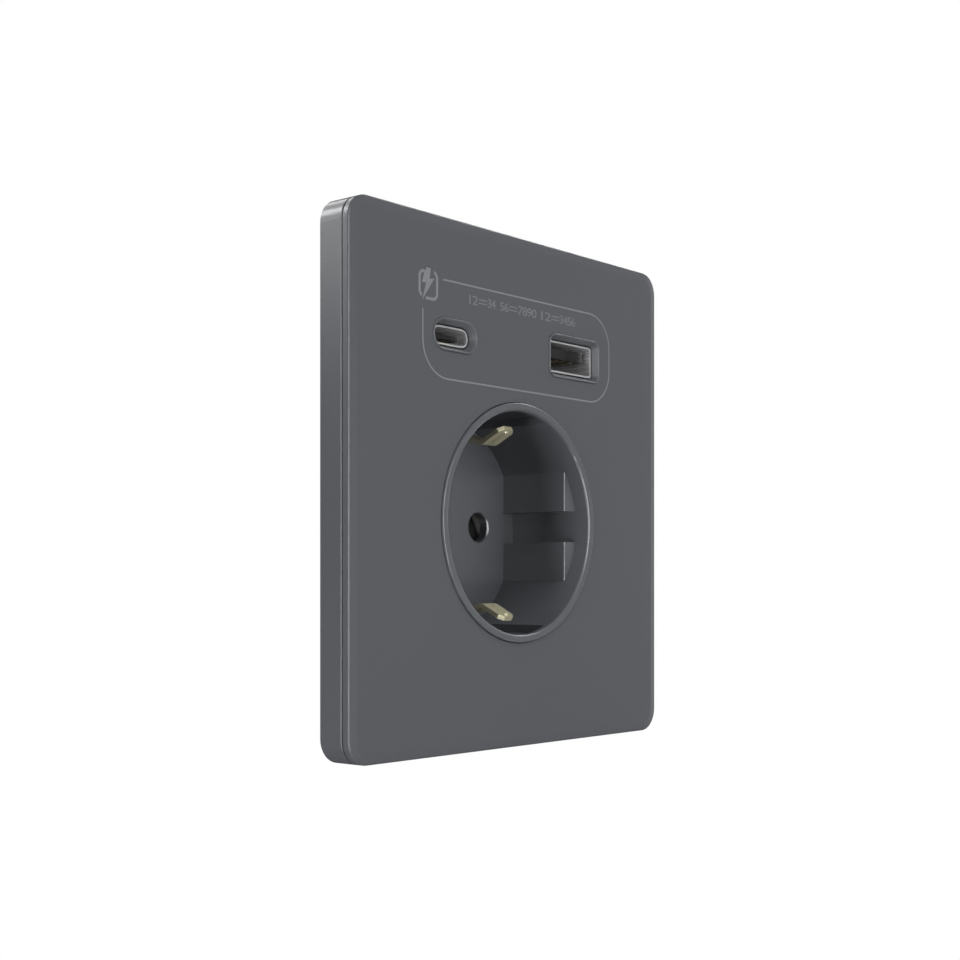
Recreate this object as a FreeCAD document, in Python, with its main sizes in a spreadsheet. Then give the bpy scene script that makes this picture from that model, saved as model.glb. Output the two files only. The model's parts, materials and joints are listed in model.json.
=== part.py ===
import FreeCAD, Part
import math
import os

import Sketcher
from FreeCAD import Rotation, Vector

# USB wall socket: a square flush plate with an earthed round socket well and two USB charging ports.
# Millimetres, +Z up, the front faces -Y, the wall's surface is Y = 0 and the origin is the plate's centre.

os.makedirs("parts", exist_ok=True)
doc = FreeCAD.newDocument("UsbWallSocket")
sheet = doc.addObject("Spreadsheet::Sheet", "Sizes")

X = Vector(1, 0, 0)
Y = Vector(0, 1, 0)
Z = Vector(0, 0, 1)


# Sizes and their expressions

class Size:
    """A length or angle: its value, and the expression that gives it from the sheet."""

    def __init__(self, value, text):
        self.value = float(value)
        self.text = text

    def __add__(self, other):
        other = as_size(other)
        return Size(self.value + other.value, f"({self.text} + {other.text})")

    def __sub__(self, other):
        other = as_size(other)
        return Size(self.value - other.value, f"({self.text} - {other.text})")

    def __mul__(self, other):
        other = as_size(other)
        return Size(self.value * other.value, f"({self.text} * {other.text})")

    def __truediv__(self, other):
        other = as_size(other)
        return Size(self.value / other.value, f"({self.text} / {other.text})")

    def __neg__(self):
        return Size(-self.value, f"(-1 * {self.text})")

    def __radd__(self, other):
        return as_size(other) + self

    def __rsub__(self, other):
        return as_size(other) - self

    def __rmul__(self, other):
        return as_size(other) * self


def as_size(number):
    return number if isinstance(number, Size) else Size(number, f"{float(number):.6g}")


def size(alias, value, meaning):
    """Write one driving dimension into the next row of the sheet."""
    row = len(size.rows) + 1
    size.rows.append(alias)
    sheet.set(f"A{row}", meaning)
    sheet.set(f"B{row}", str(value))
    sheet.setAlias(f"B{row}", alias)
    return Size(value, f"Sizes.{alias}")


size.rows = []


def bind(item, path, value):
    item.setExpression(path, as_size(value).text)


# Sketches

PLANE_ROLES = {"XY": "XY_Plane", "XZ": "XZ_Plane", "YZ": "YZ_Plane"}


def origin_plane(body, plane):
    for feature in body.Origin.OriginFeatures:
        if feature.Role == PLANE_ROLES[plane]:
            return feature
    raise ValueError(f"no plane {plane} in {body.Name}")


def sketch_on(body, name, plane, at):
    """A sketch on an origin plane, moved along the plane's own axis to the coordinate at."""
    sketch = body.newObject("Sketcher::SketchObject", name)
    sketch.AttachmentSupport = [(origin_plane(body, plane), "")]
    sketch.MapMode = "FlatFace"
    along = -as_size(at) if plane == "XZ" else as_size(at)
    bind(sketch, "AttachmentOffset.Base.z", along)
    return sketch


def hold(sketch, kind, geo, pos, value):
    """Fix one coordinate of a sketch point to an expression."""
    value = as_size(value)
    index = sketch.addConstraint(Sketcher.Constraint(kind, geo, pos, value.value))
    sketch.setExpression(f"Constraints[{index}]", value.text)


def polygon(sketch, points):
    """A closed outline of straight lines through points, each a pair of sizes."""
    count = len(points)
    corners = [(as_size(a), as_size(b)) for a, b in points]
    flat = [Vector(a.value, b.value, 0) for a, b in corners]
    first = sketch.GeometryCount
    for index in range(count):
        sketch.addGeometry(Part.LineSegment(flat[index], flat[(index + 1) % count]), False)
    for index in range(count):
        after = (index + 1) % count
        sketch.addConstraint(Sketcher.Constraint("Coincident", first + index, 2, first + after, 1))
    for index, (a, b) in enumerate(corners):
        hold(sketch, "DistanceX", first + index, 1, a)
        hold(sketch, "DistanceY", first + index, 1, b)


def rectangle(sketch, left, right, low, high):
    polygon(sketch, [(left, low), (right, low), (right, high), (left, high)])


def circle(sketch, x, y, radius):
    x, y, radius = as_size(x), as_size(y), as_size(radius)
    geo = sketch.addGeometry(Part.Circle(Vector(x.value, y.value, 0), Vector(0, 0, 1), radius.value), False)
    hold(sketch, "DistanceX", geo, 3, x)
    hold(sketch, "DistanceY", geo, 3, y)
    index = sketch.addConstraint(Sketcher.Constraint("Radius", geo, radius.value))
    sketch.setExpression(f"Constraints[{index}]", radius.text)


def quarter(sketch, x, y, radius, start):
    """A quarter arc about (x, y) from the angle start, in degrees, anticlockwise."""
    full = Part.Circle(Vector(x, y, 0), Vector(0, 0, 1), radius)
    arc = Part.ArcOfCircle(full, math.radians(start), math.radians(start + 90))
    return sketch.addGeometry(arc, False)


def rounded_rectangle(sketch, left, right, low, high, radius):
    """A rectangle with four equal round corners, tangent to its sides."""
    left, right, low, high, radius = (as_size(v) for v in (left, right, low, high, radius))
    x0, x1, y0, y1, r = left.value, right.value, low.value, high.value, radius.value
    runs = [
        ((x0 + r, y0), (x1 - r, y0)),
        ((x1, y0 + r), (x1, y1 - r)),
        ((x1 - r, y1), (x0 + r, y1)),
        ((x0, y1 - r), (x0, y0 + r)),
    ]
    lines = [
        sketch.addGeometry(Part.LineSegment(Vector(*a, 0), Vector(*b, 0)), False) for a, b in runs
    ]
    arcs = [
        quarter(sketch, x1 - r, y0 + r, r, 270),
        quarter(sketch, x1 - r, y1 - r, r, 0),
        quarter(sketch, x0 + r, y1 - r, r, 90),
        quarter(sketch, x0 + r, y0 + r, r, 180),
    ]
    for index in range(4):
        sketch.addConstraint(Sketcher.Constraint("Tangent", lines[index], 2, arcs[index], 1))
        sketch.addConstraint(Sketcher.Constraint("Tangent", arcs[index], 2, lines[(index + 1) % 4], 1))
    for index in (0, 2):
        sketch.addConstraint(Sketcher.Constraint("Horizontal", lines[index]))
    for index in (1, 3):
        sketch.addConstraint(Sketcher.Constraint("Vertical", lines[index]))
    for index in (1, 2, 3):
        sketch.addConstraint(Sketcher.Constraint("Equal", arcs[0], arcs[index]))
    hold(sketch, "DistanceX", lines[3], 1, left)
    hold(sketch, "DistanceX", lines[1], 1, right)
    hold(sketch, "DistanceY", lines[0], 1, low)
    hold(sketch, "DistanceY", lines[2], 1, high)
    index = sketch.addConstraint(Sketcher.Constraint("Radius", arcs[0], radius.value))
    sketch.setExpression(f"Constraints[{index}]", radius.text)


def stadium(sketch, x, y, width, height):
    """A slot outline: two level sides joined by half circles."""
    x, y, width, height = (as_size(v) for v in (x, y, width, height))
    r = height.value / 2
    reach = (width.value - height.value) / 2
    left = Vector(x.value - reach, y.value, 0)
    right = Vector(x.value + reach, y.value, 0)
    rise = Vector(0, r, 0)
    low = sketch.addGeometry(Part.LineSegment(left - rise, right - rise), False)
    turn_right = sketch.addGeometry(
        Part.ArcOfCircle(Part.Circle(right, Vector(0, 0, 1), r), math.radians(270), math.radians(450)), False)
    top = sketch.addGeometry(Part.LineSegment(right + rise, left + rise), False)
    turn_left = sketch.addGeometry(
        Part.ArcOfCircle(Part.Circle(left, Vector(0, 0, 1), r), math.radians(90), math.radians(270)), False)
    ring = [low, turn_right, top, turn_left]
    for index in range(4):
        sketch.addConstraint(Sketcher.Constraint("Tangent", ring[index], 2, ring[(index + 1) % 4], 1))
    sketch.addConstraint(Sketcher.Constraint("Horizontal", low))
    hold(sketch, "DistanceX", turn_left, 3, x - (width - height) / 2)
    hold(sketch, "DistanceX", turn_right, 3, x + (width - height) / 2)
    hold(sketch, "DistanceY", turn_right, 3, y)
    index = sketch.addConstraint(Sketcher.Constraint("Radius", turn_right, r))
    sketch.setExpression(f"Constraints[{index}]", (height / 2).text)


# Bodies and their features

class Piece:
    """One moulded, turned or folded part, built up feature by feature."""

    def __init__(self, name):
        self.body = doc.addObject("PartDesign::Body", name)
        self.body.Label = name
        self.count = 0

    def feature(self, kind, label):
        self.count += 1
        return self.body.newObject(f"PartDesign::{kind}", f"{self.body.Name}_{label}_{self.count}")

    def sketch(self, label, plane, at, draw):
        """A sketch that the function draw fills in."""
        self.count += 1
        sketch = sketch_on(self.body, f"{self.body.Name}_{label}_{self.count}", plane, at)
        draw(sketch)
        doc.recompute()
        return sketch

    def pad(self, label, plane, at, length, draw, back=False, both=False):
        """Material from a sketch: back turns it round, both grows it to each side by half."""
        feature = self.feature("Pad", label)
        sketch = self.sketch(label, plane, at, draw)
        feature.Profile = sketch
        bind(feature, "Length", length)
        feature.Reversed = back
        feature.Midplane = both
        self.finish(feature, sketch, grows=True)
        return feature

    def pocket(self, label, plane, at, length, draw, back=False, both=False, taper=None):
        """A cut from a sketch: into the piece, towards +Y from a sketch that faces -Y."""
        feature = self.feature("Pocket", label)
        sketch = self.sketch(label, plane, at, draw)
        feature.Profile = sketch
        bind(feature, "Length", length)
        feature.Reversed = back
        feature.Midplane = both
        if taper is not None:
            bind(feature, "TaperAngle", taper)
        self.finish(feature, sketch, grows=False)
        return feature

    def finish(self, feature, sketch, grows):
        """Recompute, and make sure that the feature changed the piece the right way."""
        before = self.volume
        sketch.Visibility = False
        self.body.Tip = feature
        doc.recompute()
        if not feature.Shape.isValid():
            raise ValueError(f"{feature.Name} is not valid")
        change = feature.Shape.Volume - before
        if (change <= 0) if grows else (change >= 0):
            raise ValueError(f"{feature.Name} changed the volume by {change:.3f}")

    @property
    def volume(self):
        shape = self.body.Shape
        return 0.0 if shape.isNull() else shape.Volume

    def edges(self, wanted):
        """Names of the edges for which the function wanted says yes."""
        named = enumerate(self.body.Shape.Edges, 1)
        return [f"Edge{index}" for index, edge in named if wanted(edge)]

    def fillet(self, label, radius, wanted):
        return self.dress("Fillet", label, "Radius", radius, wanted)

    def chamfer(self, label, depth, wanted, far=None):
        """A bevel: equal on both faces, or depth on the side and far on the face."""
        return self.dress("Chamfer", label, "Size", depth, wanted, far)

    def dress(self, kind, label, path, value, wanted, far=None):
        base = self.body.Tip
        names = self.edges(wanted)
        if not names:
            raise ValueError(f"no edges for {label} on {self.body.Name}")
        feature = self.feature(kind, label)
        feature.Base = (base, names)
        bind(feature, path, value)
        if far is not None:
            feature.ChamferType = "Two distances"
            bind(feature, "Size2", far)
        self.body.Tip = feature
        doc.recompute()
        if "Invalid" in feature.State or feature.Shape.isNull() or not feature.Shape.isValid():
            raise ValueError(f"{feature.Name} failed")
        return feature


def near(a, b, slack=0.02):
    return abs(a - float(getattr(b, "value", b))) < slack


def level_at(edge, y):
    """True for an edge that lies all in the plane Y = y."""
    box = edge.BoundBox
    return near(box.YMin, y) and near(box.YMax, y)


# Driving dimensions

plate_width = size("plate_width", 85.5, "plate, side to side")
plate_height = size("plate_height", 90.3, "plate, top to bottom")
plate_corner = size("plate_corner", 4.2, "plate corner radius")
panel_thick = size("panel_thick", 1.55, "front panel at its edge")
crown_deep = size("crown_deep", 0.18, "how far the panel's sloping edge falls back")
crown_wide = size("crown_wide", 1.7, "how wide the panel's sloping edge is")
crown_round = size("crown_round", 3, "rounding where the sloping edge meets the face")
brow_round = size("brow_round", 0.35, "rounding where the sloping edge meets the side")
panel_bevel = size("panel_bevel", 0.08, "bevel of the panel's back edge")
rim_back_bevel = size("rim_back_bevel", 0.06, "bevel of the rim's edge on the wall")
groove_gap = size("groove_gap", 0.25, "shadow line between panel and rim, front to back")
groove_deep = size("groove_deep", 0.35, "shadow line, how far it goes in")
rim_wall = size("rim_wall", 2, "cover frame's outer wall")
web_thick = size("web_thick", 1.85, "cover frame's web behind the panel")
carrier_thick = size("carrier_thick", 2, "socket insert's carrier plate")
strap_thick = size("strap_thick", 1.2, "support strap's sheet")
fit_gap = size("fit_gap", 0.15, "gap round the ring that comes through the panel")
bezel_fit = size("bezel_fit", 0.08, "gap round the bezels that come through the panel")
rim_bevel = size("rim_bevel", 0.12, "bevel of the rim's edge at the shadow line")
web_gap = size("web_gap", 0.3, "gap round what comes through the web")
hook_wide = size("hook_wide", 6, "snap hooks' width")
hook_thick = size("hook_thick", 1.2, "snap hooks' thickness")
hook_play = size("hook_play", 0.2, "clearance round snap hooks")
barb_reach = size("barb_reach", 0.6, "how far a barb stands out of its hook")
panel_hook_z = size("panel_hook_z", 17, "panel's hooks from the centre, up and down")
panel_hook_long = size("panel_hook_long", 3.2, "panel's hooks behind the panel")
cover_hook_z = size("cover_hook_z", 26, "cover frame's hooks from the centre, up and down")
pry_half = size("pry_half", 5, "half the width of the slot for prying the cover off")
pry_deep = size("pry_deep", 1.2, "the prying slot, front to back")

well_drop = size("well_drop", 5.53, "well's centre below the plate's centre")
well_radius = size("well_radius", 19.8, "well's inner radius")
well_depth = size("well_depth", 18, "well's floor behind the panel's front")
ring_wall = size("ring_wall", 1.42, "flat land of the ring round the well")
ring_proud = size("ring_proud", 0.5, "how far the ring stands out of the panel")
cup_wall = size("cup_wall", 2.7, "well's wall behind the panel")
floor_thick = size("floor_thick", 2, "well's floor")
guide_flat = size("guide_flat", 16.9, "guide blocks' flats from the well's centre")
guide_low = size("guide_low", 2.9, "half the slot between two guide blocks")
guide_high = size("guide_high", 10.2, "guide blocks' far ends from the slot's middle")
guide_start = size("guide_start", 3.2, "guide blocks' fronts behind the panel's front")
guide_fall = size("guide_fall", 0.45, "slope of the guide blocks' fronts")
pin_pitch = size("pin_pitch", 19, "pin holes, centre to centre")
pin_radius = size("pin_radius", 2.75, "pin holes")
pin_bevel = size("pin_bevel", 0.25, "pin holes' chamfer")
recess_half = size("recess_half", 7.6, "half the width of an earth clip's recess")
recess_deep = size("recess_deep", 1.4, "an earth clip's recess into the wall")
recess_start = size("recess_start", 0.7, "an earth clip's recess behind the panel's front")
ring_round = size("ring_round", 0.2, "rounding of the ring's outer edge")
mouth_round = size("mouth_round", 0.55, "rounding of the ring's inner edge")
guide_round = size("guide_round", 0.28, "rounding of the guide blocks' front edges")
leg_gap = size("leg_gap", 0.3, "clearance round an earth clip's leg in the floor")
guide_root = size("guide_root", 0.5, "how far the guide blocks reach into the floor")
overcut = size("overcut", 1, "how far a cut starts outside the piece it cuts")
partition_gap = size("partition_gap", 0.7, "partition above the well's cup")
partition_thick = size("partition_thick", 1.2, "partition under the charging board")
terminal_lift = size("terminal_lift", 1.2, "terminals above the housing's lower wall")
terminal_cover = size("terminal_cover", 1.4, "metal of a terminal above its wire hole")
rectifier_edge = size("rectifier_edge", 1, "bridge rectifier inside the board's back edge")

port_rise = size("port_rise", 9.76, "charging ports' centre line above the ring round the well")
port_c_side = size("port_c_side", 17.7, "small port's centre, to the left")
port_c_wide = size("port_c_wide", 8.94, "small port's shell, width")
port_c_high = size("port_c_high", 3.2, "small port's shell, height")
port_a_side = size("port_a_side", 15.8, "large port's centre, to the right")
port_a_wide = size("port_a_wide", 13.1, "large port's shell, width")
port_a_high = size("port_a_high", 5.72, "large port's shell, height")
port_a_corner = size("port_a_corner", 0.6, "large port's shell, corner radius")
shell_sheet = size("shell_sheet", 0.3, "port shells' sheet")
shell_sunk = size("shell_sunk", 1.1, "port shells' rims behind the panel's front")
bezel_gap = size("bezel_gap", 0.28, "gap between a shell and its bezel")
funnel_wide = size("funnel_wide", 0.6, "how far a bezel's funnel opens, each side")
funnel_deep = size("funnel_deep", 1.25, "depth of a bezel's funnel")
bezel_land = size("bezel_land", 0.25, "flat land of a bezel")
bezel_proud = size("bezel_proud", 0.2, "how far a bezel stands out of the panel")
bezel_round = size("bezel_round", 0.1, "rounding of the bezels' front edges")

carrier_margin = size("carrier_margin", 5.2, "carrier plate's sides inside the strap's")
carrier_margin_low = size("carrier_margin_low", 3, "carrier plate's lower edge above the strap's")
carrier_margin_high = size("carrier_margin_high", 2, "carrier plate's upper edge below the strap's")
carrier_corner = size("carrier_corner", 3, "carrier plate's corner radius")
strap_corner = size("strap_corner", 4, "strap's corner radius")
lip_half = size("lip_half", 30, "half the length of the strap's turned-up edges")
ear_side = size("ear_side", 6.2, "side of the ears that the housing screws go through")
screw_room = size("screw_room", 5.2, "half the free square round a wall box screw")
strap_gap_side = size("strap_gap_side", 2.15, "gap between strap and rim at the sides")
strap_gap_low = size("strap_gap_low", 5.15, "gap between strap and rim at the bottom")
strap_gap_high = size("strap_gap_high", 1.75, "gap between strap and rim at the top")
strap_lip = size("strap_lip", 1.4, "height of the strap's turned-up edges")
screw_pitch = size("screw_pitch", 60, "wall box screws, centre to centre")
screw_slot = size("screw_slot", 6, "wall box screw slots, end to end")
screw_half = size("screw_half", 2, "wall box screw slots, half width")

housing_half = size("housing_half", 25.5, "half the rear housing's width")
housing_margin = size("housing_margin", 2.57, "rear housing's underside below the well's wall")
board_room = size("board_room", 11.55, "rear housing's top above the charging ports")
housing_deep = size("housing_deep", 36, "rear housing behind the wall's surface")
housing_wall = size("housing_wall", 1.6, "rear housing's walls")
post_inset = size("post_inset", 3, "screw posts' centres from the inner walls")
post_radius = size("post_radius", 3.6, "screw posts")
peg_radius = size("peg_radius", 2.3, "locating pegs on the insert")
peg_long = size("peg_long", 5.2, "locating pegs behind the carrier plate")
peg_gap = size("peg_gap", 0.15, "clearance round a peg")
pilot_gap = size("pilot_gap", 0.05, "clearance round a screw in its pilot hole")
pilot_extra = size("pilot_extra", 0.4, "pilot holes beyond the pegs")
post_screw = size("post_screw", 1.25, "housing screws' radius")
post_head = size("post_head", 2.6, "housing screws' head radius")
post_sink = size("post_sink", 12, "depth of the housing screws' counterbores")
post_head_tall = size("post_head_tall", 2, "housing screws' head height")
screw_gap = size("screw_gap", 0.3, "clearance round screws in the housing")
housing_corner = size("housing_corner", 3, "rear housing's corner radius")
housing_round = size("housing_round", 1.2, "rounding of the housing's back edges")
root = size("root", 0.3, "how far ribs and posts root in the wall they stand on")
rib_thick = size("rib_thick", 1.2, "ribs between the terminals")
ledge_reach = size("ledge_reach", 2, "ledges on the side walls")
ledge_half = size("ledge_half", 14, "half the length of the contact base's ledges")
rail_start = size("rail_start", 12, "front of the board's rails")
vent_count = 5
vent_start = size("vent_start", 10, "first vent slot behind the wall's surface")
vent_pitch = size("vent_pitch", 4, "vent slots, centre to centre")
vent_long = size("vent_long", 22, "vent slots' length")
vent_wide = size("vent_wide", 1.6, "vent slots' width")

shutter_play = size("shutter_play", 0.25, "clearance in front of and behind the shutter")
shutter_deep = size("shutter_deep", 4.5, "shutter, front to back")
shutter_half = size("shutter_half", 13, "half the shutter's width")
shutter_tall = size("shutter_tall", 4, "half the shutter's height")
shutter_ramp = size("shutter_ramp", 7.2, "width of one ramp")
shutter_travel = size("shutter_travel", 6.6, "how far the shutter slides down")
base_thick = size("base_thick", 1.8, "contact base plate")
rail_thick = size("rail_thick", 1.2, "shutter's rails and stop")
spring_long = size("spring_long", 11, "room for the spring at rest")
spring_radius = size("spring_radius", 1.6, "spring's mean radius")
spring_wire = size("spring_wire", 0.25, "spring wire's radius")
spring_turns = 6

clip_wide = size("clip_wide", 4, "earth bracket's strip width")
clip_sheet = size("clip_sheet", 0.8, "earth bracket's sheet")
clip_knee = size("clip_knee", 14.6, "clips' knees from the well's centre")
clip_knee_deep = size("clip_knee_deep", 7.7, "clips' knees behind the panel's front")
clip_tip = size("clip_tip", 17, "clips' tips from the well's centre")
clip_tip_deep = size("clip_tip_deep", 2.95, "clips' tips behind the panel's front")
clip_leg = size("clip_leg", 17.8, "clips' rear legs from the well's centre")
contact_sheet = size("contact_sheet", 0.7, "pin contacts' sheet")
contact_wide = size("contact_wide", 7, "pin contacts' leaf width")
contact_deep = size("contact_deep", 32.3, "back of the pin contacts")

base_play = size("base_play", 0.3, "clearance round the contact base")
base_half = size("base_half", 15.2, "half the contact base's height")
base_corner = size("base_corner", 1, "contact base's corner radius")
rail_over = size("rail_over", 1, "rails beyond the shutter's travel")
rail_play = size("rail_play", 0.1, "gap between the rails and the well's floor")
stop_play = size("stop_play", 0.05, "gap between the shutter and its stop at rest")
seat_half = size("seat_half", 3, "half the width of the spring's seats")
spigot_radius = size("spigot_radius", 1.1, "spigots inside the spring")
spigot_long = size("spigot_long", 1.5, "length of those spigots")
spring_play = size("spring_play", 0.15, "gap at each end of the spring")
pin_room = size("pin_room", 0.7, "pin openings of the base, larger than the floor's")
ramp_foot = size("ramp_foot", 0.8, "flat foot of a ramp")
ramp_edge = size("ramp_edge", 1.2, "thin edge of a ramp")
link_deep = size("link_deep", 1.8, "bar between the ramps, front to back")
link_rise = size("link_rise", 1, "bar's upper edge above the well's centre")
block_tall = size("block_tall", 3, "block over the spring")
clip_bend = size("clip_bend", 1.3, "earth clips' bend radius at mid-sheet")
clip_bevel = size("clip_bevel", 0.9, "cut corners of the clips' tips")
bead_radius = size("bead_radius", 0.7, "bead on a clip's front leg")
bead_sunk = size("bead_sunk", 0.35, "how far the bead's axis lies inside the sheet's face")
tab_short = size("tab_short", 2.5, "gap behind the earth tab")
contact_half = size("contact_half", 3.3, "half the pin contacts' height at the back")
contact_bend = size("contact_bend", 0.8, "pin contacts' bend radius at mid-sheet")
leaf_pinch = size("leaf_pinch", 2.7, "leaves' pinch from the pin's axis")
leaf_pinch_deep = size("leaf_pinch_deep", 3.5, "leaves' pinch behind the contact base")
leaf_flare = size("leaf_flare", 4.2, "leaves' lead-in from the pin's axis")
leaf_start = size("leaf_start", 0.6, "leaves' ends behind the contact base")
leg_join = size("leg_join", 2.6, "half the height of the leg's root")
leg_wide = size("leg_wide", 2.5, "leg beside the leaves")
leg_foot_in = size("leg_foot_in", 1, "leg's foot from the pin's axis")
leg_foot_tall = size("leg_foot_tall", 2, "height of the leg's foot")
foot_long = size("foot_long", 6, "foot lying on the terminal")

terminal_pitch = size("terminal_pitch", 13, "terminals, centre to centre")
terminal_wide = size("terminal_wide", 7, "terminal blocks, side to side")
terminal_tall = size("terminal_tall", 8, "terminal blocks, top to bottom")
terminal_deep = size("terminal_deep", 9, "terminal blocks, front to back")
terminal_bore = size("terminal_bore", 1.9, "wire holes through the blocks")
terminal_screw = size("terminal_screw", 1.75, "terminal screws' radius")
terminal_head = size("terminal_head", 2.8, "terminal screws' head radius")

terminal_head_tall = size("terminal_head_tall", 2.2, "terminal screws' head height")
terminal_round = size("terminal_round", 0.5, "terminal blocks' edges")
screw_lift = size("screw_lift", 0.3, "gap under a terminal screw's head")
tip_gap = size("tip_gap", 0.3, "terminal screws' tips below the wire holes")
slot_half = size("slot_half", 0.4, "half the width of a driver's slot")
slot_deep = size("slot_deep", 1, "depth of a driver's slot")
wire_gap = size("wire_gap", 0.45, "wire holes in the housing, larger than the wires'")
wire_bevel = size("wire_bevel", 0.5, "bevel of the wire holes' mouths")
lead_x = size("lead_x", 14.3, "board leads from the centre, sideways")
lead_radius = size("lead_radius", 0.75, "board leads")

port_a_long = size("port_a_long", 14, "large port's shell, front to back")
port_c_long = size("port_c_long", 9, "small port's shell, front to back")
tongue_a_rise = size("tongue_a_rise", 0.02, "large port's tongue above its centre line")
tongue_a_thick = size("tongue_a_thick", 1.84, "large port's tongue")
tongue_a_half = size("tongue_a_half", 5.55, "half the width of the large port's tongue")
tongue_a_sunk = size("tongue_a_sunk", 1.3, "large port's tongue behind its rim")
tongue_a_root = size("tongue_a_root", 3.4, "large port's insulator block")
tongue_c_thick = size("tongue_c_thick", 0.7, "small port's tongue")
tongue_c_half = size("tongue_c_half", 3.35, "half the width of the small port's tongue")
tongue_c_sunk = size("tongue_c_sunk", 1.2, "small port's tongue behind its rim")
tongue_c_root = size("tongue_c_root", 2.6, "small port's insulator block")
leaf_half = size("leaf_half", 1, "half the width of a shell's spring")
leaf_slot = size("leaf_slot", 0.4, "slot round a shell's spring")
leaf_near = size("leaf_near", -2.5, "front end of a shell's spring")
leaf_far = size("leaf_far", 3, "root of a shell's spring")
a_contact_pitch = size("a_contact_pitch", 2.5, "large port's contact spacing")
a_contact_half = size("a_contact_half", 0.5, "half the width of a large port's contact")
a_contact_thick = size("a_contact_thick", 0.15, "large port's contacts")
a_contact_inset = size("a_contact_inset", 1, "large port's contacts behind the tongue's front")
c_contact_pitch = size("c_contact_pitch", 0.5, "small port's contact spacing")
c_contact_half = size("c_contact_half", 0.13, "half the width of a small port's contact")
c_contact_thick = size("c_contact_thick", 0.05, "small port's contacts")
c_contact_inset = size("c_contact_inset", 0.8, "small port's contacts behind the tongue's front")
board_gap = size("board_gap", 0.3, "clearance round what the board fits to")
board_front = size("board_front", 0.8, "board's front edge behind the wall's surface")
bulk_x = size("bulk_x", 13.2, "bulk capacitors from the centre, to the left")
bulk_radius = size("bulk_radius", 4, "bulk capacitors")
bulk_long = size("bulk_long", 12, "bulk capacitors' length")
bulk_start = size("bulk_start", 7, "front of the first bulk capacitor")
bulk_gap = size("bulk_gap", 0.5, "gap between two capacitors")
output_x = size("output_x", 13, "output capacitors from the centre, to the right")
output_radius = size("output_radius", 3.15, "output capacitors")
output_tall = size("output_tall", 8, "output capacitors' height")
output_start = size("output_start", 13, "first output capacitor's centre")
rectifier_half = size("rectifier_half", 2.5, "half the rectifier's side")
rectifier_tall = size("rectifier_tall", 2, "rectifier's height")
chip_x = size("chip_x", 9, "spacing of the chips under the board")
chip_half = size("chip_half", 2.5, "half a chip's side")
chip_tall = size("chip_tall", 1.6, "chips' height")
chip_start = size("chip_start", 10, "front of the chips")
choke_x = size("choke_x", 0, "choke's centre, sideways")
choke_y = size("choke_y", 9, "choke's centre behind the wall's surface")
choke_radius = size("choke_radius", 4, "choke's flanges")
choke_waist = size("choke_waist", 1.8, "choke's waist")
choke_flange = size("choke_flange", 1, "choke's flange thickness")
choke_tall = size("choke_tall", 7, "choke's height")
coil_round = size("coil_round", 1.2, "winding's rounded corners")
board_thick = size("board_thick", 1.2, "circuit board")
board_half = size("board_half", 22.6, "half the circuit board's width")

# Places that follow from them

usb_height = well_radius - well_drop + ring_wall + port_rise
strap_half = plate_width / 2 - rim_wall - strap_gap_side
strap_low = plate_height / 2 - rim_wall - strap_gap_low
strap_high = plate_height / 2 - rim_wall - strap_gap_high
carrier_half = strap_half - carrier_margin
carrier_low = strap_low - carrier_margin_low
carrier_high = strap_high - carrier_margin_high
housing_low = well_drop + well_radius + cup_wall + housing_margin
housing_high = usb_height + board_room
panel_hook_x = plate_width / 2 - rim_wall - hook_play - barb_reach - hook_thick
panel_back = -(strap_thick + carrier_thick + web_thick)
front = panel_back - panel_thick
rim_front = panel_back + groove_gap
web_back = panel_back + web_thick
carrier_back = web_back + carrier_thick
lip_front = front - ring_proud
floor_front = front + well_depth
floor_back = floor_front + floor_thick
ring_radius = well_radius + ring_wall
cup_radius = well_radius + cup_wall
bezel_front = front - bezel_proud
shell_front = front + shell_sunk
housing_inner_back = housing_deep - housing_wall
inner_half = housing_half - housing_wall
inner_low = -(housing_low - housing_wall)
inner_high = housing_high - housing_wall
pin_side = pin_pitch / 2
centre_z = -well_drop
post_x = inner_half - post_inset
post_top = inner_high - post_inset
post_low = inner_low + post_inset
shutter_front = floor_back + shutter_play
shutter_back = shutter_front + shutter_deep
base_front = shutter_back + shutter_play
base_back = base_front + base_thick
shutter_top = centre_z + shutter_tall
shutter_foot = centre_z - shutter_tall
spring_foot = shutter_foot - spring_long
spring_y = shutter_front + shutter_deep / 2
partition_low = centre_z + cup_radius + partition_gap
partition_high = partition_low + partition_thick
board_top = usb_height - port_c_high / 2
board_low = board_top - board_thick
terminal_low = inner_low + terminal_lift
terminal_high = terminal_low + terminal_tall
terminal_front = housing_inner_back - terminal_deep
wire_z = terminal_high - terminal_cover - terminal_bore
terminal_screw_y = housing_inner_back - terminal_deep / 2

lead_y = contact_deep - contact_sheet - lead_radius - pilot_gap
bead_start = 0.3
bead_finish = 0.82
nodes = {}


def port_c_outline(grow):
    """The small port's slot outline, grown by a size all round."""
    def draw(sketch):
        stadium(sketch, -port_c_side, usb_height, port_c_wide + grow * 2, port_c_high + grow * 2)
    return draw


def port_a_outline(grow):
    """The large port's outline, grown by a size all round."""
    half_wide = port_a_wide / 2 + grow
    half_high = port_a_high / 2 + grow

    def draw(sketch):
        rounded_rectangle(sketch, port_a_side - half_wide, port_a_side + half_wide,
                          usb_height - half_high, usb_height + half_high, port_a_corner + grow)
    return draw


bezel_grow = bezel_gap + funnel_wide + bezel_land


def plate_outline(inset):
    """The plate's rounded square, drawn in by a size all round."""
    half_wide = plate_width / 2 - inset
    half_high = plate_height / 2 - inset
    return lambda s: rounded_rectangle(
        s, -half_wide, half_wide, -half_high, half_high, plate_corner - inset)


def four_corners(draw_one):
    """Draw the same outline in all four quarters; draw_one takes the sketch and two signs."""
    def draw(sketch):
        for side in (-1, 1):
            for level in (-1, 1):
                draw_one(sketch, side, level)
    return draw


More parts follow.
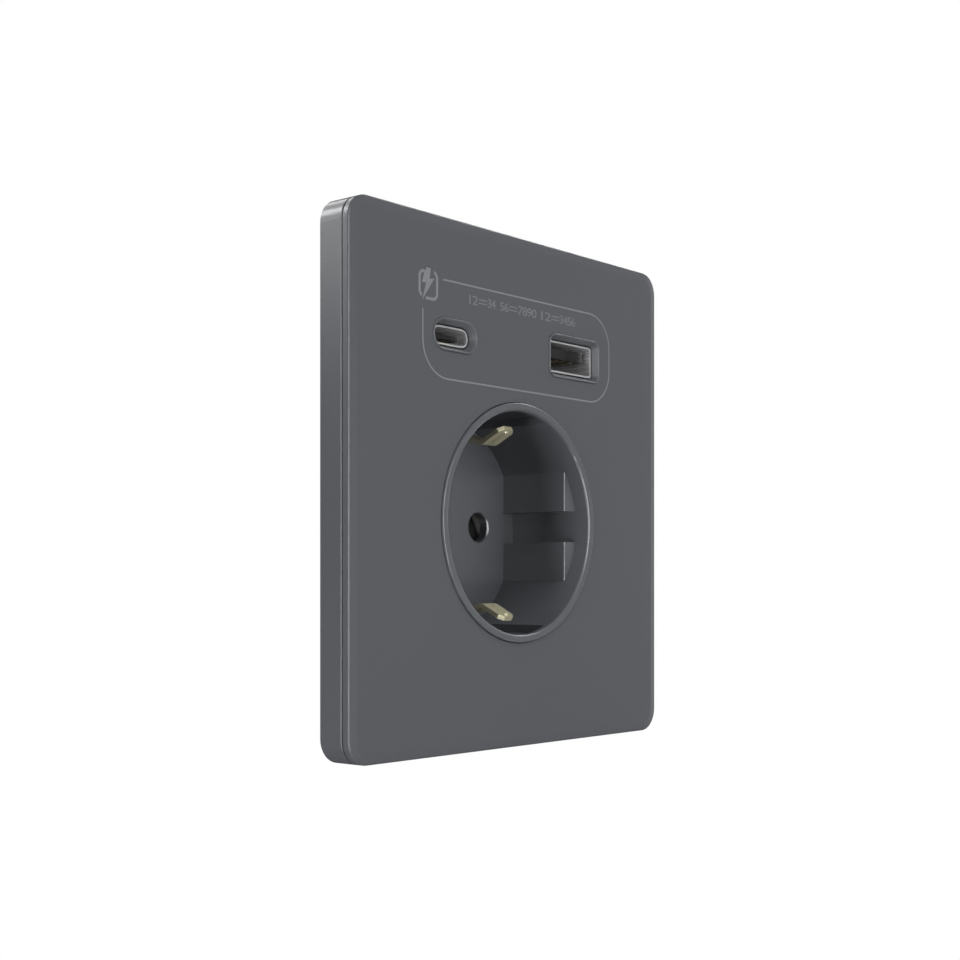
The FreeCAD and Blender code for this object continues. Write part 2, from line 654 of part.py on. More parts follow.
# Front panel: a thin plate whose edge slopes back a little, open for the ring and the two bezels

panel = Piece("front_panel")
panel.pad("plate", "XZ", panel_back, panel_thick, plate_outline(0))
panel.chamfer("crown", crown_deep, lambda e: level_at(e, front), far=crown_wide)
crown_start = front + crown_deep
panel.fillet("shoulder", crown_round, lambda e: level_at(e, front))
panel.fillet("brow", brow_round, lambda e: level_at(e, crown_start))
panel.chamfer("back_edge", panel_bevel, lambda e: level_at(e, panel_back))
panel.pocket("well", "XZ", front, panel_thick, lambda s: circle(s, 0, centre_z, ring_radius + fit_gap))
panel.pocket("port_c", "XZ", front, panel_thick, port_c_outline(bezel_grow + bezel_fit))
panel.pocket("port_a", "XZ", front, panel_thick, port_a_outline(bezel_grow + bezel_fit))


def panel_hook(s, side, level):
    rectangle(s, panel_hook_x * side, (panel_hook_x + hook_thick) * side,
              panel_hook_z * level - hook_wide / 2, panel_hook_z * level + hook_wide / 2)


def panel_barbs(s):
    for side in (-1, 1):
        outer = (panel_hook_x + hook_thick) * side
        polygon(s, [(outer, web_back + hook_play), (outer + barb_reach * side, web_back + hook_play),
                    (outer, panel_back + panel_hook_long)])


panel.pad("hooks", "XZ", panel_back, panel_hook_long, four_corners(panel_hook), back=True)
for level in (-1, 1):
    panel.pad("barbs", "XY", panel_hook_z * level, hook_wide, panel_barbs, both=True)
nodes["front_panel"] = panel.body


# Cover frame: the rim round the plate, with the shadow line, the web that carries the panel
# and the hooks that grip the socket insert

cover = Piece("cover_frame")
cover.pad("rim", "XZ", 0, -rim_front, plate_outline(0))
cover.chamfer("front_edge", rim_bevel, lambda e: level_at(e, rim_front))
cover.pad("ledge", "XZ", rim_front, groove_gap, plate_outline(groove_deep))
cover.chamfer("back_edge", rim_back_bevel, lambda e: level_at(e, 0))
cover.pocket("cavity", "XZ", 0, -web_back, plate_outline(rim_wall), back=True)
cover.pocket("well", "XZ", panel_back, web_thick, lambda s: circle(s, 0, centre_z, cup_radius + web_gap))
cover.pocket("port_c", "XZ", panel_back, web_thick, port_c_outline(bezel_grow + web_gap))
cover.pocket("port_a", "XZ", panel_back, web_thick, port_a_outline(bezel_grow + web_gap))


def screw_windows(s):
    for side in (-1, 1):
        middle = screw_pitch / 2 * side
        rectangle(s, middle - screw_room, middle + screw_room, -screw_room, screw_room)


def hook_windows(s, side, level):
    middle = panel_hook_z * level
    rectangle(s, (panel_hook_x - hook_play * 2) * side, (panel_hook_x + hook_thick + hook_play * 2) * side,
              middle - hook_wide / 2 - hook_play, middle + hook_wide / 2 + hook_play)


def cover_hook(s, side, level):
    rectangle(s, (carrier_half + hook_play) * side, (carrier_half + hook_play + hook_thick) * side,
              cover_hook_z * level - hook_wide / 2, cover_hook_z * level + hook_wide / 2)


def cover_barbs(s):
    for side in (-1, 1):
        inner = (carrier_half + hook_play) * side
        polygon(s, [(inner, carrier_back + hook_play / 2),
                    (inner - barb_reach * side, carrier_back + hook_play / 2),
                    (inner, -hook_play)])


cover.pocket("screw_windows", "XZ", panel_back, web_thick, screw_windows)
cover.pocket("hook_windows", "XZ", panel_back, web_thick, four_corners(hook_windows))
cover.pad("hooks", "XZ", web_back, -web_back - hook_play, four_corners(cover_hook), back=True)
for level in (-1, 1):
    cover.pad("barbs", "XY", cover_hook_z * level, hook_wide, cover_barbs, both=True)
cover.pocket("pry_slot", "XZ", -pry_deep, pry_deep, lambda s: rectangle(
    s, -pry_half, pry_half, -plate_height / 2 - 1, -plate_height / 2 + rim_wall + 1))
nodes["cover_frame"] = cover.body


# Support strap: the steel sheet that is screwed to the wall box and clamped between insert and housing

strap = Piece("support_strap")
strap.pad("sheet", "XZ", 0, strap_thick, lambda s: rounded_rectangle(
    s, -strap_half, strap_half, -strap_low, strap_high, strap_corner))


def strap_lips(s):
    for side in (-1, 1):
        rectangle(s, (strap_half - strap_thick) * side, strap_half * side, -lip_half, lip_half)


def strap_opening(s):
    """The housing's inside, with an ear left at each corner for a screw."""
    ear_x = inner_half - ear_side
    ear_top = inner_high - ear_side
    ear_foot = inner_low + ear_side
    polygon(s, [
        (-ear_x, inner_low), (ear_x, inner_low), (ear_x, ear_foot), (inner_half, ear_foot),
        (inner_half, ear_top), (ear_x, ear_top), (ear_x, inner_high), (-ear_x, inner_high),
        (-ear_x, ear_top), (-inner_half, ear_top), (-inner_half, ear_foot), (-ear_x, ear_foot),
    ])


def post_circles(radius):
    """A circle of one radius at each of the four screw posts."""
    def draw(sketch):
        for side in (-1, 1):
            for height in (post_low, post_top):
                circle(sketch, post_x * side, height, radius)
    return draw


def wall_slots(s):
    for side in (-1, 1):
        stadium(s, screw_pitch / 2 * side, 0, screw_slot, screw_half * 2)


def strap_windows(s, side, level):
    middle = cover_hook_z * level
    reach = hook_wide / 2 + hook_play * 2
    rectangle(s, (carrier_half - barb_reach - hook_play) * side,
              (carrier_half + hook_thick + hook_play * 3) * side, middle - reach, middle + reach)


strap.pad("lips", "XZ", -strap_thick, strap_lip, strap_lips)
strap.pocket("opening", "XZ", -strap_thick, strap_thick, strap_opening)
strap.pocket("peg_holes", "XZ", -strap_thick, strap_thick, post_circles(peg_radius + peg_gap))
strap.pocket("wall_slots", "XZ", -strap_thick, strap_thick, wall_slots)
strap.pocket("windows", "XZ", -strap_thick, strap_thick, four_corners(strap_windows))
nodes["support_strap"] = strap.body


# Socket insert: one moulding with the carrier plate, the round well, its ring and the port bezels

insert = Piece("socket_insert")
insert.pad("carrier", "XZ", carrier_back, carrier_thick, lambda s: rounded_rectangle(
    s, -carrier_half, carrier_half, -carrier_low, carrier_high, carrier_corner))


def screw_notches(s):
    for side in (-1, 1):
        rectangle(s, (screw_pitch / 2 - screw_room + 1) * side, (carrier_half + 1) * side,
                  -screw_room, screw_room)


def guide_sides(s):
    """The section of a left and a right guide block, seen from above."""
    for side in (-1, 1):
        polygon(s, [(guide_flat * side, floor_front + guide_root), (guide_flat * side, front + guide_start),
                    (well_radius * side, front + guide_start - guide_fall),
                    (well_radius * side, floor_front + guide_root)])


def arched_recess(level):
    """The room behind an earth clip: straight sides and an outer arc about the well's axis."""
    def draw(sketch):
        radius = well_radius + recess_deep
        inner = centre_z + (clip_knee + overcut) * level
        rise = math.sqrt(radius.value ** 2 - recess_half.value ** 2) * level
        low_left = Vector(-recess_half.value, inner.value, 0)
        low_right = Vector(recess_half.value, inner.value, 0)
        top_left = Vector(-recess_half.value, centre_z.value + rise, 0)
        top_right = Vector(recess_half.value, centre_z.value + rise, 0)
        base = sketch.addGeometry(Part.LineSegment(low_left, low_right), False)
        right = sketch.addGeometry(Part.LineSegment(low_right, top_right), False)
        left = sketch.addGeometry(Part.LineSegment(top_left, low_left), False)
        turn = math.atan2(rise, recess_half.value)
        ends = (turn, math.pi - turn) if level > 0 else (-math.pi - turn, turn)
        full = Part.Circle(Vector(0, centre_z.value, 0), Vector(0, 0, 1), radius.value)
        arc = sketch.addGeometry(Part.ArcOfCircle(full, *ends), False)
        first, last = (1, 2) if level > 0 else (2, 1)
        sketch.addConstraint(Sketcher.Constraint("Coincident", base, 2, right, 1))
        sketch.addConstraint(Sketcher.Constraint("Coincident", left, 2, base, 1))
        sketch.addConstraint(Sketcher.Constraint("Coincident", right, 2, arc, first))
        sketch.addConstraint(Sketcher.Constraint("Coincident", left, 1, arc, last))
        hold(sketch, "DistanceX", base, 1, -recess_half)
        hold(sketch, "DistanceY", base, 1, inner)
        hold(sketch, "DistanceX", base, 2, recess_half)
        hold(sketch, "DistanceY", base, 2, inner)
        hold(sketch, "DistanceX", right, 2, recess_half)
        hold(sketch, "DistanceX", left, 1, -recess_half)
        hold(sketch, "DistanceX", arc, 3, 0)
        hold(sketch, "DistanceY", arc, 3, centre_z)
        index = sketch.addConstraint(Sketcher.Constraint("Radius", arc, radius.value))
        sketch.setExpression(f"Constraints[{index}]", radius.text)
    return draw


def leg_slots(s):
    for level in (-1, 1):
        middle = centre_z + clip_leg * level
        rectangle(s, -clip_wide / 2 - leg_gap, clip_wide / 2 + leg_gap,
                  middle - clip_sheet / 2 - leg_gap, middle + clip_sheet / 2 + leg_gap)


def pin_circles(radius):
    """A circle of one radius at each of the two pin holes."""
    def draw(sketch):
        for side in (-1, 1):
            circle(sketch, pin_side * side, centre_z, radius)
    return draw


insert.pocket("screw_notches", "XZ", web_back, carrier_thick, screw_notches)
insert.pad("cup", "XZ", floor_back, floor_back - panel_back, lambda s: circle(s, 0, centre_z, cup_radius))
insert.pad("ring", "XZ", panel_back, panel_back - lip_front, lambda s: circle(s, 0, centre_z, ring_radius))
insert.pocket("well", "XZ", lip_front, floor_front - lip_front, lambda s: circle(s, 0, centre_z, well_radius))
guide_tall = guide_high - guide_low
insert.pad("upper_guides", "XY", centre_z + guide_low, guide_tall, guide_sides)
insert.pad("lower_guides", "XY", centre_z - guide_low, guide_tall, guide_sides, back=True)
recess_front = front + recess_start
for level in (-1, 1):
    insert.pocket("clip_recess", "XZ", recess_front, floor_front - recess_front, arched_recess(level))
insert.pocket("leg_slots", "XZ", floor_front, floor_thick, leg_slots)
insert.pocket("pin_holes", "XZ", floor_front, floor_thick, pin_circles(pin_radius))
insert.chamfer("pin_mouths", pin_bevel, lambda e: level_at(e, floor_front) and near(
    e.BoundBox.ZLength, pin_radius * 2) and near(abs(e.BoundBox.Center.x), pin_side))
insert.fillet("ring_edge", ring_round, lambda e: level_at(e, lip_front) and near(
    e.Curve.Radius, well_radius + ring_wall))
insert.fillet("mouth_edge", mouth_round, lambda e: level_at(e, lip_front) and near(
    e.Curve.Radius, well_radius))
insert.fillet("guide_edges", guide_round, lambda e: near(e.BoundBox.ZLength, guide_tall) and near(
    abs(e.BoundBox.Center.x), guide_flat) and near(e.BoundBox.Center.y, front + guide_start))

funnel_ratio = funnel_wide / funnel_deep
funnel_angle = Size(math.degrees(math.atan(funnel_ratio.value)), f"atan({funnel_ratio.text})")
for outline in (port_c_outline, port_a_outline):
    insert.pad("bezel", "XZ", web_back, web_back - bezel_front, outline(bezel_grow))
    insert.pocket("funnel", "XZ", bezel_front, funnel_deep, outline(bezel_gap + funnel_wide),
                  taper=-funnel_angle)
    insert.pocket("throat", "XZ", bezel_front, carrier_back - bezel_front, outline(bezel_gap))
insert.fillet("bezel_edges", bezel_round, lambda e: level_at(e, bezel_front))
insert.pad("pegs", "XZ", carrier_back, peg_long, post_circles(peg_radius), back=True)
peg_end = carrier_back + peg_long
insert.pocket("pilots", "XZ", peg_end, peg_long + pilot_extra,
              post_circles(post_screw + pilot_gap), back=True)
nodes["socket_insert"] = insert.body


# Rear housing: a deep box behind the strap, with screw posts, a partition and the terminals' seats

housing = Piece("rear_housing")
housing.pad("box", "XZ", housing_deep, housing_deep, lambda s: rounded_rectangle(
    s, -housing_half, housing_half, -housing_low, housing_high, housing_corner))
housing.fillet("back_edges", housing_round, lambda e: level_at(e, housing_deep))
housing.pocket("inside", "XZ", 0, housing_inner_back, lambda s: rounded_rectangle(
    s, -inner_half, inner_half, inner_low, inner_high, housing_corner - housing_wall))
inside_root = housing_inner_back + root
housing.pad("posts", "XZ", inside_root, inside_root, post_circles(post_radius))
housing.pad("partition", "XZ", inside_root, inside_root - overcut, lambda s: rectangle(
    s, -inner_half - root, inner_half + root, partition_low, partition_high))


def side_ribs(reach, low, high):
    """A rib on each side wall, standing in by reach."""
    def draw(sketch):
        for side in (-1, 1):
            rectangle(sketch, (inner_half - reach) * side, (inner_half + root) * side, low, high)
    return draw


def terminal_ribs(s):
    for side in (-1, 1):
        middle = terminal_pitch / 2 * side
        rectangle(s, middle - rib_thick / 2, middle + rib_thick / 2, inner_low - root, terminal_high)


def contact_stops(s):
    for side in (-1, 1):
        middle = pin_side * side
        rectangle(s, middle - contact_wide / 2, middle + contact_wide / 2,
                  centre_z - contact_half, centre_z + contact_half)


def terminal_holes(radius):
    """A circle at each terminal's screw, in the plan."""
    def draw(sketch):
        for place in (-1, 0, 1):
            circle(sketch, terminal_pitch * place, terminal_screw_y, radius)
    return draw


def wire_holes(s):
    for place in (-1, 0, 1):
        circle(s, terminal_pitch * place, wire_z, terminal_bore + wire_gap)


def vent_slots(s):
    for index in range(vent_count):
        stadium(s, 0, vent_start + vent_pitch * index, vent_long, vent_wide)


def lead_holes(s):
    for side in (-1, 1):
        circle(s, lead_x * side, lead_y, lead_radius + wire_gap)


housing.pad("base_ledges", "XZ", inside_root, inside_root - base_back,
            side_ribs(ledge_reach, centre_z - ledge_half, centre_z + ledge_half))
housing.pad("board_rails", "XZ", inside_root, inside_root - rail_start,
            side_ribs(ledge_reach, partition_high - root, board_low))
housing.pad("terminal_ribs", "XZ", inside_root, inside_root - terminal_front, terminal_ribs)
housing.pad("terminal_seat", "XZ", inside_root, inside_root - terminal_front, lambda s: rectangle(
    s, -post_x + post_radius / 2, post_x - post_radius / 2, inner_low - root, terminal_low))
housing.pad("contact_stops", "XZ", inside_root, inside_root - contact_deep, contact_stops)
housing.pocket("peg_sockets", "XZ", 0, peg_end + peg_gap * 2, post_circles(peg_radius + peg_gap))
housing.pocket("screw_bores", "XZ", 0, housing_deep, post_circles(post_screw + screw_gap))
housing.pocket("counterbores", "XZ", housing_deep, post_sink, post_circles(post_head + screw_gap), back=True)
housing.pocket("terminal_holes", "XY", -housing_low, terminal_low + housing_low,
               terminal_holes(terminal_head + screw_gap), back=True)
housing.pocket("wire_holes", "XZ", housing_inner_back, housing_wall, wire_holes)
housing.chamfer("wire_mouths", wire_bevel, lambda e: level_at(e, housing_deep) and near(
    e.BoundBox.Center.z, wire_z))
housing.pocket("vents", "XY", housing_high, housing_wall, vent_slots)
housing.pocket("lead_holes", "XY", partition_high, partition_high - partition_low, lead_holes)
nodes["rear_housing"] = housing.body


# Contact base: the plate behind the shutter, with the rails, stop and spring seat that the shutter needs

base = Piece("contact_base")
base.pad("plate", "XZ", base_back, base_thick, lambda s: rounded_rectangle(
    s, -inner_half + base_play, inner_half - base_play,
    centre_z - base_half, centre_z + base_half, base_corner))
rail_x = shutter_half + base_play
rail_deep = base_front - floor_back - rail_play


def rails(s):
    """Two rails joined over the shutter by its stop."""
    foot = shutter_foot - shutter_travel - rail_over
    top = shutter_top + stop_play
    polygon(s, [
        (-rail_x - rail_thick, foot), (-rail_x, foot), (-rail_x, top), (rail_x, top),
        (rail_x, foot), (rail_x + rail_thick, foot),
        (rail_x + rail_thick, top + rail_thick), (-rail_x - rail_thick, top + rail_thick),
    ])


base.pad("rails", "XZ", base_front, rail_deep, rails)
base.pad("spring_seat", "XZ", base_front, rail_deep, lambda s: rectangle(
    s, -seat_half, seat_half, spring_foot - rail_thick, spring_foot))
base.pad("spigot", "XY", spring_foot, spigot_long, lambda s: circle(s, 0, spring_y, spigot_radius))
base.pocket("pin_openings", "XZ", base_front, base_thick, pin_circles(pin_radius + pin_room))
nodes["contact_base"] = base.body


# Shutter: two ramps on one bar, which the plug's pins push down together

shutter = Piece("shutter")


def ramp_section(s):
    polygon(s, [(shutter_front, shutter_foot), (shutter_front, shutter_foot + ramp_foot),
                (shutter_back - ramp_edge, shutter_top), (shutter_back, shutter_top),
                (shutter_back, shutter_foot)])


ramp_start = shutter_half - shutter_ramp
shutter.pad("link", "XZ", shutter_back, link_deep, lambda s: rectangle(
    s, -ramp_start - root, ramp_start + root, shutter_foot, centre_z + link_rise))
shutter.pad("right_ramp", "YZ", ramp_start, shutter_ramp, ramp_section)
shutter.pad("left_ramp", "YZ", -ramp_start, shutter_ramp, ramp_section, back=True)
shutter.pad("spring_block", "XZ", shutter_back, shutter_deep, lambda s: rectangle(
    s, -seat_half, seat_half, shutter_foot, shutter_foot + block_tall))
shutter.pad("spigot", "XY", shutter_foot, spigot_long, lambda s: circle(
    s, 0, spring_y, spigot_radius), back=True)
nodes["shutter"] = shutter.body


# Shutter spring: a coil between the shutter and its seat

half_pitch = (spring_long - spring_wire * 2 - spring_play * 2) / (spring_turns * 2)
coil_radius = Size(math.hypot(spring_radius.value, half_pitch.value / 2),
                   f"sqrt({spring_radius.text} ^ 2 + ({half_pitch.text} / 2) ^ 2)")
coil_slope = math.degrees(math.atan(half_pitch.value / 2 / spring_radius.value))


def half_turn(index):
    """Half a turn of wire, tilted so that it meets the next one end to end and square."""
    turn = doc.addObject("Part::Torus", f"spring_half_{index}")
    turn.Angle3 = 180
    tilt = Rotation(Y, coil_slope) if index % 2 == 0 else Rotation(Y, -coil_slope) * Rotation(Z, 180)
    turn.Placement = FreeCAD.Placement(Vector(), tilt)
    bind(turn, "Radius1", coil_radius)
    bind(turn, "Radius2", spring_wire)
    bind(turn, "Placement.Base.y", spring_y)
    bind(turn, "Placement.Base.z", spring_foot + spring_wire + spring_play + half_pitch * (index + 0.5))
    return turn


spring = doc.addObject("Part::MultiFuse", "shutter_spring")
spring.Shapes = [half_turn(index) for index in range(spring_turns * 2)]
nodes["shutter_spring"] = spring


# Folded strips: a run of sheet, swept from the well's level and mirrored below it

def bent_route(sketch, points, bend):
    """Straight runs through points, with an arc of one radius at each corner between them."""
    corners = [(as_size(a), as_size(b)) for a, b in points]
    flat = [Vector(a.value, b.value, 0) for a, b in corners]
    bend = as_size(bend)
    starts, ends, arcs = [flat[0]], [], []
    for before, corner, after in zip(flat, flat[1:], flat[2:]):
        into = (corner - before).normalize()
        out = (after - corner).normalize()
        turn = into.getAngle(out)
        cut = bend.value * math.tan(turn / 2)
        left = into.x * out.y - into.y * out.x > 0
        side = Vector(-into.y, into.x, 0) if left else Vector(into.y, -into.x, 0)
        centre = corner - into * cut + side * bend.value
        ends.append(corner - into * cut)
        starts.append(corner + out * cut)
        first, last = (ends[-1], starts[-1]) if left else (starts[-1], ends[-1])
        angles = [math.atan2(p.y - centre.y, p.x - centre.x) for p in (first, last)]
        arcs.append((centre, angles, left))
    ends.append(flat[-1])
    lines, curves = [], []
    for index, (start, end) in enumerate(zip(starts, ends)):
        lines.append(sketch.addGeometry(Part.LineSegment(start, end), False))
        if index < len(arcs):
            centre, angles, left = arcs[index]
            full = Part.Circle(centre, Vector(0, 0, 1), bend.value)
            curves.append(sketch.addGeometry(Part.ArcOfCircle(full, *angles), False))
    for index, (centre, angles, left) in enumerate(arcs):
        near_end, far_end = (1, 2) if left else (2, 1)
        marker = sketch.addGeometry(Part.Point(flat[index + 1]), True)
        sketch.addConstraint(Sketcher.Constraint("Tangent", lines[index], 2, curves[index], near_end))
        sketch.addConstraint(Sketcher.Constraint("Tangent", curves[index], far_end, lines[index + 1], 1))
        sketch.addConstraint(Sketcher.Constraint("PointOnObject", marker, 1, lines[index]))
        sketch.addConstraint(Sketcher.Constraint("PointOnObject", marker, 1, lines[index + 1]))
        hold(sketch, "DistanceX", marker, 1, corners[index + 1][0])
        hold(sketch, "DistanceY", marker, 1, corners[index + 1][1])
        radius = sketch.addConstraint(Sketcher.Constraint("Radius", curves[index], bend.value))
        sketch.setExpression(f"Constraints[{radius}]", bend.text)
    hold(sketch, "DistanceX", lines[0], 1, corners[0][0])
    hold(sketch, "DistanceY", lines[0], 1, corners[0][1])
    hold(sketch, "DistanceX", lines[-1], 2, corners[-1][0])
    hold(sketch, "DistanceY", lines[-1], 2, corners[-1][1])


def folded_strip(piece, label, left, right, sheet_thick, points, bend):
    """A strip whose first point lies on the well's level and whose first run goes straight up."""
    start_y = points[0][0]
    spine = piece.sketch(label + "_route", "YZ", (left + right) / 2,
                         lambda s: bent_route(s, points, bend))
    section = piece.sketch(label + "_section", "XY", centre_z, lambda s: rectangle(
        s, left, right, start_y - sheet_thick / 2, start_y + sheet_thick / 2))
    sweep = piece.feature("AdditivePipe", label)
    sweep.Profile = section
    sweep.Spine = (spine, [f"Edge{index + 1}" for index in range(len(points) * 2 - 3)])
    piece.finish(sweep, section, grows=True)
    spine.Visibility = False
    return sweep


def mirror_down(piece, label):
    """Repeat the piece so far below the well's level."""
    level = piece.body.newObject("PartDesign::Plane", f"{piece.body.Name}_{label}_level")
    level.AttachmentSupport = [(origin_plane(piece.body, "XY"), "")]
    level.MapMode = "FlatFace"
    bind(level, "AttachmentOffset.Base.z", centre_z)
    mirror = piece.feature("Mirrored", label)
    mirror.TransformMode = "Whole shape"
    mirror.MirrorPlane = (level, [""])
    before = piece.volume
    piece.body.Tip = mirror
    doc.recompute()
    if mirror.Shape.Volume < before * 1.9:
        raise ValueError(f"{mirror.Name} added too little")
    return mirror


# Earth bracket: one folded strip, with a sprung clip at each end and a tab to the earth terminal

bracket_y = base_back + base_play + clip_sheet / 2
clip_top = centre_z + clip_leg
bracket = Piece("earth_bracket")
folded_strip(bracket, "clip", -clip_wide / 2, clip_wide / 2, clip_sheet, [
    (bracket_y, centre_z),
    (bracket_y, clip_top),
    (floor_front, clip_top),
    (front + clip_knee_deep, centre_z + clip_knee),
    (front + clip_tip_deep, centre_z + clip_tip),
], clip_bend)
bracket.chamfer("tip", clip_bevel, lambda e: near(abs(e.BoundBox.Center.x), clip_wide / 2) and near(
    e.BoundBox.XLength, 0) and e.BoundBox.Center.y < (front + clip_tip_deep).value + 0.6
    and e.Length < clip_sheet.value * 1.2)
mirror_down(bracket, "lower_clip")
bracket.pad("tab", "XY", terminal_high, clip_sheet, lambda s: rectangle(
    s, -clip_wide / 2, clip_wide / 2, bracket_y - clip_sheet / 2, housing_inner_back - tab_short))


# Bead: the stiffening rib pressed into each clip's front leg

def bead(name, level):
    """A capsule lying along a clip's front leg and sunk half into it."""
    knee = Vector(0, (front + clip_knee_deep).value, (centre_z + clip_knee * level).value)
    tip = Vector(0, (front + clip_tip_deep).value, (centre_z + clip_tip * level).value)
    along = tip - knee
    inward = Vector(0, -along.z, along.y).normalize()
    inward = inward * (-1 if inward.z * level > 0 else 1)
    lift = inward * (clip_sheet.value / 2 - bead_sunk.value)
    start = knee + along * bead_start + lift
    end = knee + along * bead_finish + lift
    rod = Part.makeCylinder(bead_radius.value, (end - start).Length, start, end - start)
    caps = [Part.makeSphere(bead_radius.value, point) for point in (start, end)]
    item = doc.addObject("Part::Feature", name)
    item.Shape = rod.multiFuse(caps).removeSplitter()
    return item


def join(name, items):
    """One solid from several touching ones."""
    item = doc.addObject("Part::MultiFuse", name)
    item.Shapes = items
    item.Refine = True
    return item


def group(name, items):
    """Separate solids kept as one node."""
    item = doc.addObject("Part::Compound", name)
    item.Links = items
    return item


bracket.body.Label = "earth_bracket_strip"
bracket_beads = [bead(f"earth_bead_{index}", level) for index, level in enumerate((1, -1))]
nodes["earth_bracket"] = join("earth_bracket_whole", [bracket.body] + bracket_beads)


# Pin contacts: a sprung pair of leaves for each pin, with a leg to its terminal

web_y = contact_deep - contact_sheet / 2


def pin_contact(name, side):
    piece = Piece(name)
    middle = pin_side * side
    folded_strip(piece, "leaf", middle - contact_wide / 2, middle + contact_wide / 2, contact_sheet, [
        (web_y, centre_z),
        (web_y, centre_z + contact_half),
        (base_back + leaf_pinch_deep, centre_z + leaf_pinch),
        (base_back + leaf_start, centre_z + leaf_flare),
    ], contact_bend)
    mirror_down(piece, "lower_leaf")
    outer = middle + contact_wide / 2 * side
    foot_x = middle + leg_foot_in * side

    def leg(s):
        polygon(s, [
            (outer - root * side, centre_z + leg_join), (outer + leg_wide * side, centre_z + leg_join),
            (outer + leg_wide * side, terminal_high), (foot_x, terminal_high),
            (foot_x, terminal_high + leg_foot_tall), (outer, terminal_high + leg_foot_tall + leg_wide),
            (outer, centre_z - leg_join), (outer - root * side, centre_z - leg_join),
        ])
    piece.pad("leg", "XZ", contact_deep, contact_sheet, leg)
    piece.pad("foot", "XY", terminal_high, contact_sheet, lambda s: rectangle(
        s, foot_x, outer + leg_wide * side, contact_deep - foot_long, contact_deep))
    nodes[name] = piece.body


pin_contact("live_contact", 1)
pin_contact("neutral_contact", -1)


# Terminals: a brass block for each wire, with its screw from below

def terminal_block(name, place):
    piece = Piece(name)
    middle = terminal_pitch * place
    piece.pad("block", "XZ", housing_inner_back, terminal_deep, lambda s: rounded_rectangle(
        s, middle - terminal_wide / 2, middle + terminal_wide / 2, terminal_low, terminal_high,
        terminal_round))
    piece.pocket("wire", "XZ", terminal_front, terminal_deep, lambda s: circle(
        s, middle, wire_z, terminal_bore))
    piece.pocket("thread", "XY", terminal_low, wire_z - terminal_low, lambda s: circle(
        s, middle, terminal_screw_y, terminal_screw + pilot_gap), back=True)
    nodes[name] = piece.body


for name, place in (("neutral_terminal", -1), ("earth_terminal", 0), ("live_terminal", 1)):
    terminal_block(name, place)


# Plain solids from primitives

def block(name, left, right, close, far, low, high):
    """A box between three pairs of coordinates."""
    item = doc.addObject("Part::Box", name)
    for path, value in (("Length", right - left), ("Width", far - close), ("Height", high - low),
                        ("Placement.Base.x", left), ("Placement.Base.y", close),
                        ("Placement.Base.z", low)):
        bind(item, path, value)
    return item


def rod(name, x, y, z, radius, length, turn=None):
    """A round bar that starts at a point: along +Z, or as the rotation turn sets it."""
    item = doc.addObject("Part::Cylinder", name)
    if turn is not None:
        item.Placement = FreeCAD.Placement(Vector(), turn)
    for path, value in (("Radius", radius), ("Height", length), ("Placement.Base.x", x),
                        ("Placement.Base.y", y), ("Placement.Base.z", z)):
        bind(item, path, value)
    return item


def cut(name, base_item, tool):
    item = doc.addObject("Part::Cut", name)
    item.Base = base_item
    item.Tool = tool
    return item


INWARDS = Rotation(X, -90)
OUTWARDS = Rotation(X, 90)


def slotted_screw(name, head, shank, slot):
    """A round head and shank with a driver's slot."""
    return cut(name, join(name + "_body", [head, shank]), slot)


def terminal_screw_at(place):
    name = f"terminal_screw_{place + 2}"
    middle = terminal_pitch * place
    seat = terminal_low - screw_lift
    head = rod(name + "_head", middle, terminal_screw_y, seat - terminal_head_tall,
               terminal_head, terminal_head_tall)
    shank = rod(name + "_shank", middle, terminal_screw_y, seat - root, terminal_screw,
                wire_z - terminal_bore - tip_gap - seat + root)
    slot = block(name + "_slot", middle - terminal_head - overcut, middle + terminal_head + overcut,
                 terminal_screw_y - slot_half, terminal_screw_y + slot_half,
                 seat - terminal_head_tall - overcut, seat - terminal_head_tall + slot_deep)
    return slotted_screw(name, head, shank, slot)


def housing_screw_at(side, height, name):
    middle = post_x * side
    seat = housing_deep - post_sink
    head = rod(name + "_head", middle, seat, height, post_head, post_head_tall, INWARDS)
    shank = rod(name + "_shank", middle, seat + root, height, post_screw,
                seat + root - peg_end + peg_long - pilot_extra / 2, OUTWARDS)
    slot = block(name + "_slot", middle - post_head - overcut, middle + post_head + overcut,
                 seat + post_head_tall - slot_deep, seat + post_head_tall + overcut,
                 height - slot_half, height + slot_half)
    return slotted_screw(name, head, shank, slot)


nodes["terminal_screws"] = group("terminal_screw_group", [
    terminal_screw_at(place) for place in (-1, 0, 1)])
nodes["housing_screws"] = group("housing_screw_group", [
    housing_screw_at(side, height, f"housing_screw_{index}")
    for index, (side, height) in enumerate(
        [(-1, post_low), (1, post_low), (-1, post_top), (1, post_top)])])


# Charging board and the port shells that are soldered to it

board = Piece("usb_board")
port_a_back = shell_front + port_a_long
port_c_back = shell_front + port_c_long
notch_half = port_a_wide / 2 + board_gap


def board_outline(s):
    """The board, with a notch at its front right for the large port's shell."""
    polygon(s, [
        (-board_half, board_front), (port_a_side - notch_half, board_front),
        (port_a_side - notch_half, port_a_back + board_gap), (board_half, port_a_back + board_gap),
        (board_half, board_back), (-board_half, board_back),
    ])


board_back = housing_inner_back - board_gap
board.pad("sheet", "XY", board_low, board_thick, board_outline)
nodes["usb_board"] = board.body


def port_shell(name, outline, long):
    """A drawn steel shell, open at the front and closed at the back."""
    piece = Piece(name)
    piece.pad("shell", "XZ", shell_front + long, long, outline(0))
    piece.pocket("opening", "XZ", shell_front, long - shell_sheet, outline(-shell_sheet))
    return piece


